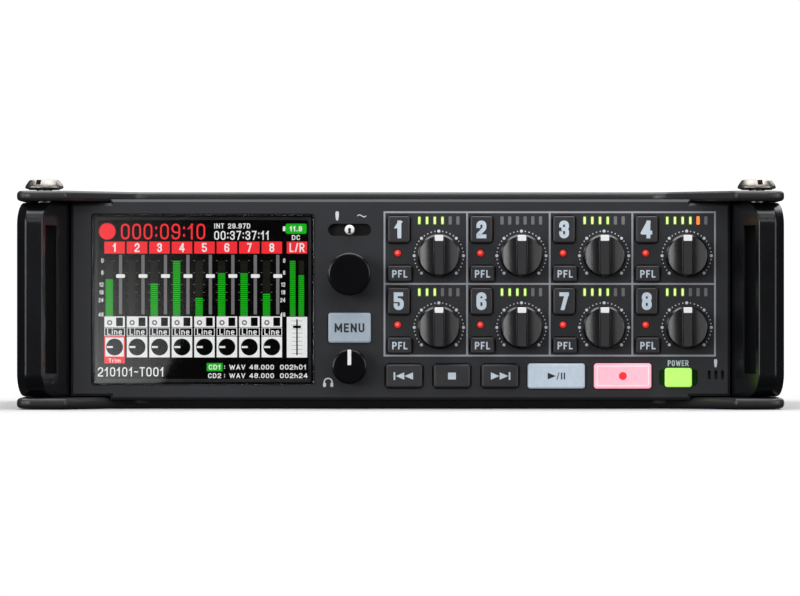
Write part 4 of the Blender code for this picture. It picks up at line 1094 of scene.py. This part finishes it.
def screen_strip(number, x):
    """One channel's header, meter, fader, labels and gain dial."""
    tile("red", x, HEADER_Z, STRIP_W, 2.8)
    words("white", str(number), 2.1, x, HEADER_Z, 0.16, 1.1, 2)
    meter_x = x - STRIP_W / 2 + 1.15
    meter(meter_x, 1.7, METERS[number])
    for share in list(MARKS.values())[:5]:
        for side in SIDES:
            tile("grey", meter_x + side * 1.15, METER_LOW + METER_SPAN * share, 0.35, 0.14)
    fader_x = x + STRIP_W / 2 - 1.0
    tile("grey", fader_x, 3.5, 0.75, 13.9)
    tile("white", fader_x, 5.5, 2.05, 0.85, 2, 0.2)
    tile("white", x, -5.2, STRIP_W, 2.5)
    tile("black", x + 1.15, -5.2, 1.6, 2.0, 2)
    disc("grey", x - 1.15, -5.4, 0.62, 2, 0.3, 24)
    frame_tile("white", x, -7.55, STRIP_W, 1.98, 0.15, 1)
    words("white", "Line", 1.45, x, -7.5, 0.15, 1.25)
    tile("white", x, DIAL_Z, STRIP_W, 4.85)
    disc("black", x, DIAL_Z, 1.97, 2, count=40)
    tile("white", x - 1.1, DIAL_Z, 1.4, 0.45, 3)


def screen_master():
    """The left and right meters and the master fader."""
    x, fader_z = 21.95, -8.8
    tile("red", x, HEADER_Z, STRIP_W, 2.8)
    words("white", "L/R", 2.1, x, HEADER_Z, 0.15, 1.05, 2)
    meter(x - 1.0, 1.3, 1.0)
    meter(x + 1.0, 1.3, 0.75)
    tile("white", x, fader_z, STRIP_W, 9.5)
    tile("black", x, fader_z, 0.35, 8.4, 2)
    tile("black", x, -6.4, 1.9, 0.6, 2, 0.2)
    for k in range(9):
        tile("grey", x, -5.0 - 0.95 * k, 2.6, 0.08, 1.5)


def screen_footer():
    """The take name, the card lines, the selected dial and the small level scales."""
    words("white", "210101-T001", 2.2, -24.6, -16.9, 0.13, 1.13, align="LEFT")
    tile("green", 2.7, -15.8, 3.7, 1.9)
    for name, left, z, layer in (("CD1", "002h01", -15.8, 2), ("CD2", "002h24", -17.8, 1)):
        words("white", name, 1.15, 2.7, z, 0.18, 1.45, layer)
        words("white", ": WAV 48.000", 1.15, 4.9, z, 0.17, 1.45, align="LEFT")
        words("white", left, 1.15, 18.0, z, 0.17, 1.5, align="LEFT")
    x = FIRST_STRIP + STRIP_W / 2
    tile("red", x, -14.25, STRIP_W, 1.4)
    words("white", "Trim", 0.95, x, -14.25, 0.17, 1.4, 2)
    frame_tile("red", x, DIAL_Z, STRIP_W + 0.1, 5.0, 0.28, 3)
    for text, share in MARKS.items():
        for x in (-23.3, 19.2):
            words("white", text, 1.0, x, METER_LOW + METER_SPAN * share, 0.15, 0.95, align="RIGHT")


def screen():
    """Everything that the screen shows, one piece for each colour."""
    screen_header()
    for number in CHANNELS:
        screen_strip(number, FIRST_STRIP + STRIP_W / 2 + STRIP_PITCH * (number - 1))
    screen_master()
    screen_footer()
    slots = {"white": "stub", "red": "lit_red", "green": "lit_green"}
    for name, shapes in SCREEN.items():
        piece(f"screen_{name}", bundle(shapes), f"screen_{name}", slot=slots.get(name, "screen"))


def window():
    """The glass with a polished edge, and the black mask behind its border."""
    low, high = box("display_window")

    def pane(less_wide, less_high, corner):
        width, height = high.x - low.x - less_wide, high.z - low.z - less_high
        return rounded_rect(width, height, corner, 6, WINDOW.x, WINDOW.z)

    sections = [(pane(2 * i, 2 * i, 0.6), low.y + depth) for i, depth in edge_steps(0.2, 3)]
    sections.append((pane(0.0, 0.0, 0.6), high.y))
    piece("window_pane", along_y(sections), "window_glass", replaces="display_window")
    mask = ring_shape(pane(0.1, 0.1, 0.5), pane(1.2, 1.0, 0.3), high.y + 0.03, 0.07)
    piece("window_mask", mask, "screen_black", slot="screen")


# ---------------------------------------------------------------- sides and rear

JACK_SCREWS = ((-9.2, 12.2), (9.2, -12.2))
JACK_CONTACTS = [arc(0, 0, 5.5, turn, turn, 1)[0] for turn in (90, 210, 330)]


def small_ring(outer, inner, front, back, u, v, count=40):
    """A round metal ring about (u, v)."""
    return ring_shape(circle(outer, count, u, v), circle(inner, count, u, v), front, back - front)


def input_jack_mesh():
    """The jack's flange with its screw seats, the ring groove, the contact holes and the centre hole."""
    flange = rounded_rect(23.0, 29.5, 3.0, 15)
    count = len(flange)
    middle_hole = [(3.3, 18.0), (3.3, 1.0), (3.7, 0.6), (7.5, 0.6)]
    groove = [(7.8, 0.9), (7.8, 10.0), (9.6, 10.0), (9.6, 0.3), (9.9, 0.0)]
    sections = [(circle(radius, count), y) for radius, y in middle_hole + groove]
    sections += [(inset(flange, i), d) for i, d in edge_steps(0.4)] + [(flange, 1.5)]
    sections += [(circle(10.75, count), y) for y in (1.5, 21.5)]
    tools = [plate(circle(1.1, 24, u, v), -1.0, 9.0) for u, v in JACK_CONTACTS]
    tools += [plate(circle(1.9, 24, u, v), -0.2, 0.9) for u, v in JACK_SCREWS]
    return carved(along_y(sections), tools)


def input_jacks():
    """The eight input jacks with their screws and contact sleeves."""
    mesh = input_jack_mesh()
    head = [(1.7 - i, 0.15 + d) for i, d in edge_steps(0.3, 3)] + [(1.7, 0.75)]
    for channel in CHANNELS:
        name = f"input_jack_{channel}"
        left = channel <= 4
        x = box(name)[0 if left else 1].x
        place = {"at": (x, middle(name).y, middle(name).z), "turn": -90 if left else 90}
        piece(f"{name}_socket", mesh, "jack_plastic", replaces=name, **place)
        screws = [moved(turned(head, 24), u, 0.0, v) for u, v in JACK_SCREWS]
        contacts = [small_ring(1.08, 0.8, 1.2, 7.2, u, v, 20) for u, v in JACK_CONTACTS]
        contacts.append(small_ring(3.28, 3.05, 1.6, 5.6, 0.0, 0.0))
        piece(f"{name}_screws", bundle(screws), "steel", slot="screw", **place)
        piece(f"{name}_contacts", bundle(contacts), "gold_contact", slot="screw", **place)
        label = lettering(str(channel), 2.6, 9.0, 12.0, -0.02, weight=0.2)
        piece(f"{name}_number", label, "print_pale", slot="stub", **place)


REAR_COLUMN = 16.0
REAR_ROW = 8.0
REAR_PLATE = 1.5  # thickness of the rear block's plate


def rear_details():
    """Metal sleeves, rims, contacts and labels of the rear block."""
    rear = middle("rear_connectors")
    face = box("battery_cap")[0].y + REAR_PLATE
    end = face - box("rear_connectors")[1].y
    metal, gold = [], []
    for u in (0.0, REAR_COLUMN):
        metal.append(small_ring(5.0, 3.9, end - 0.15, -0.8, u, REAR_ROW))
        metal.append(small_ring(5.9, 4.9, -0.9, 0.2, u, REAR_ROW))
        for x in (u - 5.4, u + 5.4):
            metal.append(block((x - 0.6, end + 1.6, REAR_ROW - 0.55), (x + 0.6, end + 2.7, REAR_ROW + 0.55)))
        gold.append(small_ring(0.95, 0.45, end + 0.7, end + 2.0, u, REAR_ROW))
    for u, v in ((-REAR_COLUMN, REAR_ROW), (REAR_COLUMN, -REAR_ROW), (0.0, -REAR_ROW)):
        metal.append(small_ring(5.7, 4.9, -0.35, 0.4, u, v))
        for pin in arc(u, v, 1.7, 45, 315, 3):
            gold.append(small_ring(0.55, 0.25, -0.12, 0.3, *pin))
    outer, inner = [
        rounded_rect(width, height, corner, 6, -REAR_COLUMN, -REAR_ROW)
        for width, height, corner in ((9.5, 3.8, 1.3), (8.7, 3.0, 0.9))
    ]
    metal.append(ring_shape(outer, inner, -0.15, 3.15))
    place = {"at": (rear.x, face, rear.z), "turn": 180}
    piece("rear_sleeves", bundle(metal), "nickel_plate", slot="screw", **place)
    piece("rear_contacts", bundle(gold), "gold_contact", slot="screw", **place)
    above, below = 15.2, -15.0
    labels = (("TIME", 0.0, above), ("TIME", REAR_COLUMN, above), ("DC", -REAR_COLUMN, above),
              ("L", 0.0, below), ("R", REAR_COLUMN, below))
    shapes = [lettering(text, 1.5, u, v, -0.02, weight=0.17) for text, u, v in labels]
    piece("rear_labels", bundle(shapes), "print_pale", slot="stub", **place)


def plain_nodes():
    """Finishes of the CAD nodes that stay as they are."""
    finishes = {
        "chassis": "chassis_coat", "front_panel": "panel_coat", "front_board": "circuit_board",
        "main_board": "circuit_board", "display_module": "screen_black", "headphone_jack": "jack_plastic",
        "rear_connectors": "jack_plastic", "card_door": "door_rubber", "battery_sled": "sled_plastic",
        "battery_cap": "jack_plastic", "encoder_shaft": "steel",
    }
    for name, look in finishes.items():
        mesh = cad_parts[name].data
        mesh.materials.clear()
        mesh.materials.append(LOOK[look])


# ---------------------------------------------------------------- stage, lights and camera

CAMERA_BACK = 1500.0
VIEW_WIDTH = 185.38  # width of the picture at the ears' front
CAMERA_X = -0.12
CAMERA_Z = MID_Z + 0.36
WHITE = (1.0, 1.0, 1.0, 1.0)


def floor_look():
    """Matte white paper with the faintest tooth, glowing white where it runs away from the recorder."""
    made, tree, shader = nodes_of("floor_paper")
    place = node(tree, "ShaderNodeTexCoord")
    reach = node(tree, "ShaderNodeVectorMath", operation="LENGTH")
    tree.links.new(place.outputs["Object"], reach.inputs[0])
    glow = node(tree, "ShaderNodeMapRange", {"From Min": 0.24, "From Max": 0.8, "To Max": 0.75})
    tree.links.new(reach.outputs["Value"], glow.inputs["Value"])
    tree.links.new(glow.outputs["Result"], shader.inputs["Emission Strength"])
    shader.inputs["Emission Color"].default_value = WHITE
    fine = noise(tree, 300.0, 3.0)
    tree.links.new(ramp(tree, fine, (0.45, 0.45, 0.455), (0.465, 0.465, 0.47)), shader.inputs["Base Color"])
    shader.inputs["Roughness"].default_value = 0.9
    bumped(tree, shader, fine, 0.1, 0.02)
    return made


def floor():
    """A sheet of pale paper under the recorder; it lights nothing from below."""
    shape = bmesh.new()
    corners = ((-750, -1000), (750, -1000), (750, 500), (-750, 500))
    shape.faces.new([shape.verts.new((x, y, -0.3)) for x, y in corners])
    item = linked("floor", as_mesh(shape, "floor"))
    item.data.materials.append(floor_look())
    item.visible_diffuse = False
    item.visible_glossy = False
    item.visible_transmission = False


def softbox(name, place, aim, width, height, radiance):
    """A rectangular area light aimed at a point, in metres."""
    light = bpy.data.lights.new(name, "AREA")
    light.shape = "RECTANGLE"
    light.size = width
    light.size_y = height
    light.energy = radiance * math.pi * width * height
    item = linked(name, light)
    item.location = place
    item.rotation_euler = (Vector(aim) - Vector(place)).to_track_quat("-Z", "Y").to_euler()
    item.visible_camera = False


def lights():
    """A wide overhead, a key from the left, high and low front lights, two sides, a fill and a back rim."""
    softbox("overhead", (0.0, 0.2, 1.4), (0.0, 0.2, 0.0), 2.2, 2.1, 4.2)
    aim = (0.0, -0.05, MID_Z * MM)
    for name, azimuth, elevation, distance, width, height, radiance in (
        ("key_left", -31, 8, 1.9, 0.85, 0.6, 6.6),
        ("front_high", 4, 42, 1.7, 1.0, 0.5, 1.6),
        ("side_left", -66, 12, 1.7, 1.1, 0.9, 2.6),
        ("side_right", 66, 12, 1.7, 1.1, 0.9, 2.6),
        ("front_strip", 4, 22, 1.8, 0.8, 0.14, 4.5),
        ("fill_right", 31, 9, 1.9, 1.1, 0.8, 1.5),
        ("rim_back", 150, 30, 1.9, 1.2, 0.8, 2.2),
    ):
        turn, rise = math.radians(azimuth), math.radians(elevation)
        flat = distance * math.cos(rise)
        place = (flat * math.sin(turn), -flat * math.cos(turn), distance * math.sin(rise) + MID_Z * MM)
        softbox(name, place, aim, width, height, radiance)


def glare_look(far, near):
    """A glow that grows from the card's far corner to its near one."""
    made, tree, shader = nodes_of("glare_card")
    lean = (-0.8, 0.0, -0.6)
    start, stop = [(lean[0] * x + lean[2] * z) * MM for x, z in (far, near)]
    place = node(tree, "ShaderNodeTexCoord")
    slope = node(tree, "ShaderNodeVectorMath", {1: lean}, "DOT_PRODUCT")
    span = node(tree, "ShaderNodeMapRange", {"From Min": start, "From Max": stop})
    fade = node(tree, "ShaderNodeMath", {1: 2.2}, "POWER")
    glow = node(tree, "ShaderNodeMath", {1: 2.05}, "MULTIPLY")
    tree.links.new(place.outputs["Object"], slope.inputs[0])
    tree.links.new(slope.outputs["Value"], span.inputs["Value"])
    tree.links.new(span.outputs["Result"], fade.inputs[0])
    tree.links.new(fade.outputs["Value"], glow.inputs[0])
    tree.links.new(glow.outputs["Value"], shader.inputs["Emission Strength"])
    shader.inputs["Base Color"].default_value = (0.0, 0.0, 0.0, 1.0)
    shader.inputs["Emission Color"].default_value = WHITE
    return made


def glare_card():
    """A pale card beside the camera, seen only as a reflection in the window."""
    seen = ((-25.9, -19.9), (-10.2, -19.9), (-7.6, -14.2), (2.7, 10.4), (6.4, 19.9), (-25.9, 19.9))
    card = [(2 * (WINDOW.x + u) - CAMERA_X, 2 * (WINDOW.z + v) - CAMERA_Z) for u, v in seen]
    item = linked("glare_card", as_mesh(plate(card, FRONT - CAMERA_BACK, 2.0), "glare_card"))
    item.data.materials.append(glare_look(card[4], card[0]))
    item.visible_camera = False
    item.visible_diffuse = False
    item.visible_shadow = False


def sky():
    """A white backdrop; as a light it is weak, and weaker still in reflections."""
    world = bpy.data.worlds.new("studio")
    world.use_nodes = True
    tree = world.node_tree
    tree.nodes.remove(tree.nodes["Background"])
    path = node(tree, "ShaderNodeLightPath")
    shade = node(tree, "ShaderNodeBackground", {"Color": WHITE, "Strength": 0.03}).outputs["Background"]
    for ray, strength in (("Is Diffuse Ray", 0.14), ("Is Camera Ray", 1.05)):
        bright = node(tree, "ShaderNodeBackground", {"Color": WHITE, "Strength": strength})
        mix = node(tree, "ShaderNodeMixShader")
        tree.links.new(path.outputs[ray], mix.inputs["Fac"])
        tree.links.new(shade, mix.inputs[1])
        tree.links.new(bright.outputs["Background"], mix.inputs[2])
        shade = mix.outputs["Shader"]
    tree.links.new(shade, tree.nodes["World Output"].inputs["Surface"])
    bpy.context.scene.world = world


def camera():
    """A long lens straight in front, level with the recorder's middle."""
    data = bpy.data.cameras.new("camera")
    data.sensor_width = 36.0
    data.lens = data.sensor_width * CAMERA_BACK / VIEW_WIDTH
    data.clip_start = 0.05
    item = linked("camera", data)
    item.location = Vector((CAMERA_X, FRONT - CAMERA_BACK, CAMERA_Z)) * MM
    item.rotation_euler = (math.pi / 2, 0.0, 0.0)
    bpy.context.scene.camera = item
    bpy.context.scene.view_settings.view_transform = "Standard"


# ---------------------------------------------------------------- everything

camera()
sky()
lights()
floor()
glare_card()
plain_nodes()
covers()
handles()
handle_screws()
channel_keys()
transport_keys()
gain_knobs()
select_knob()
headphone_knob()
power_slider()
tone_slider()
grid_lines()
knob_scales()
level_bars()
record_lights()
panel_marks()
screen()
window()
input_jacks()
rear_details()
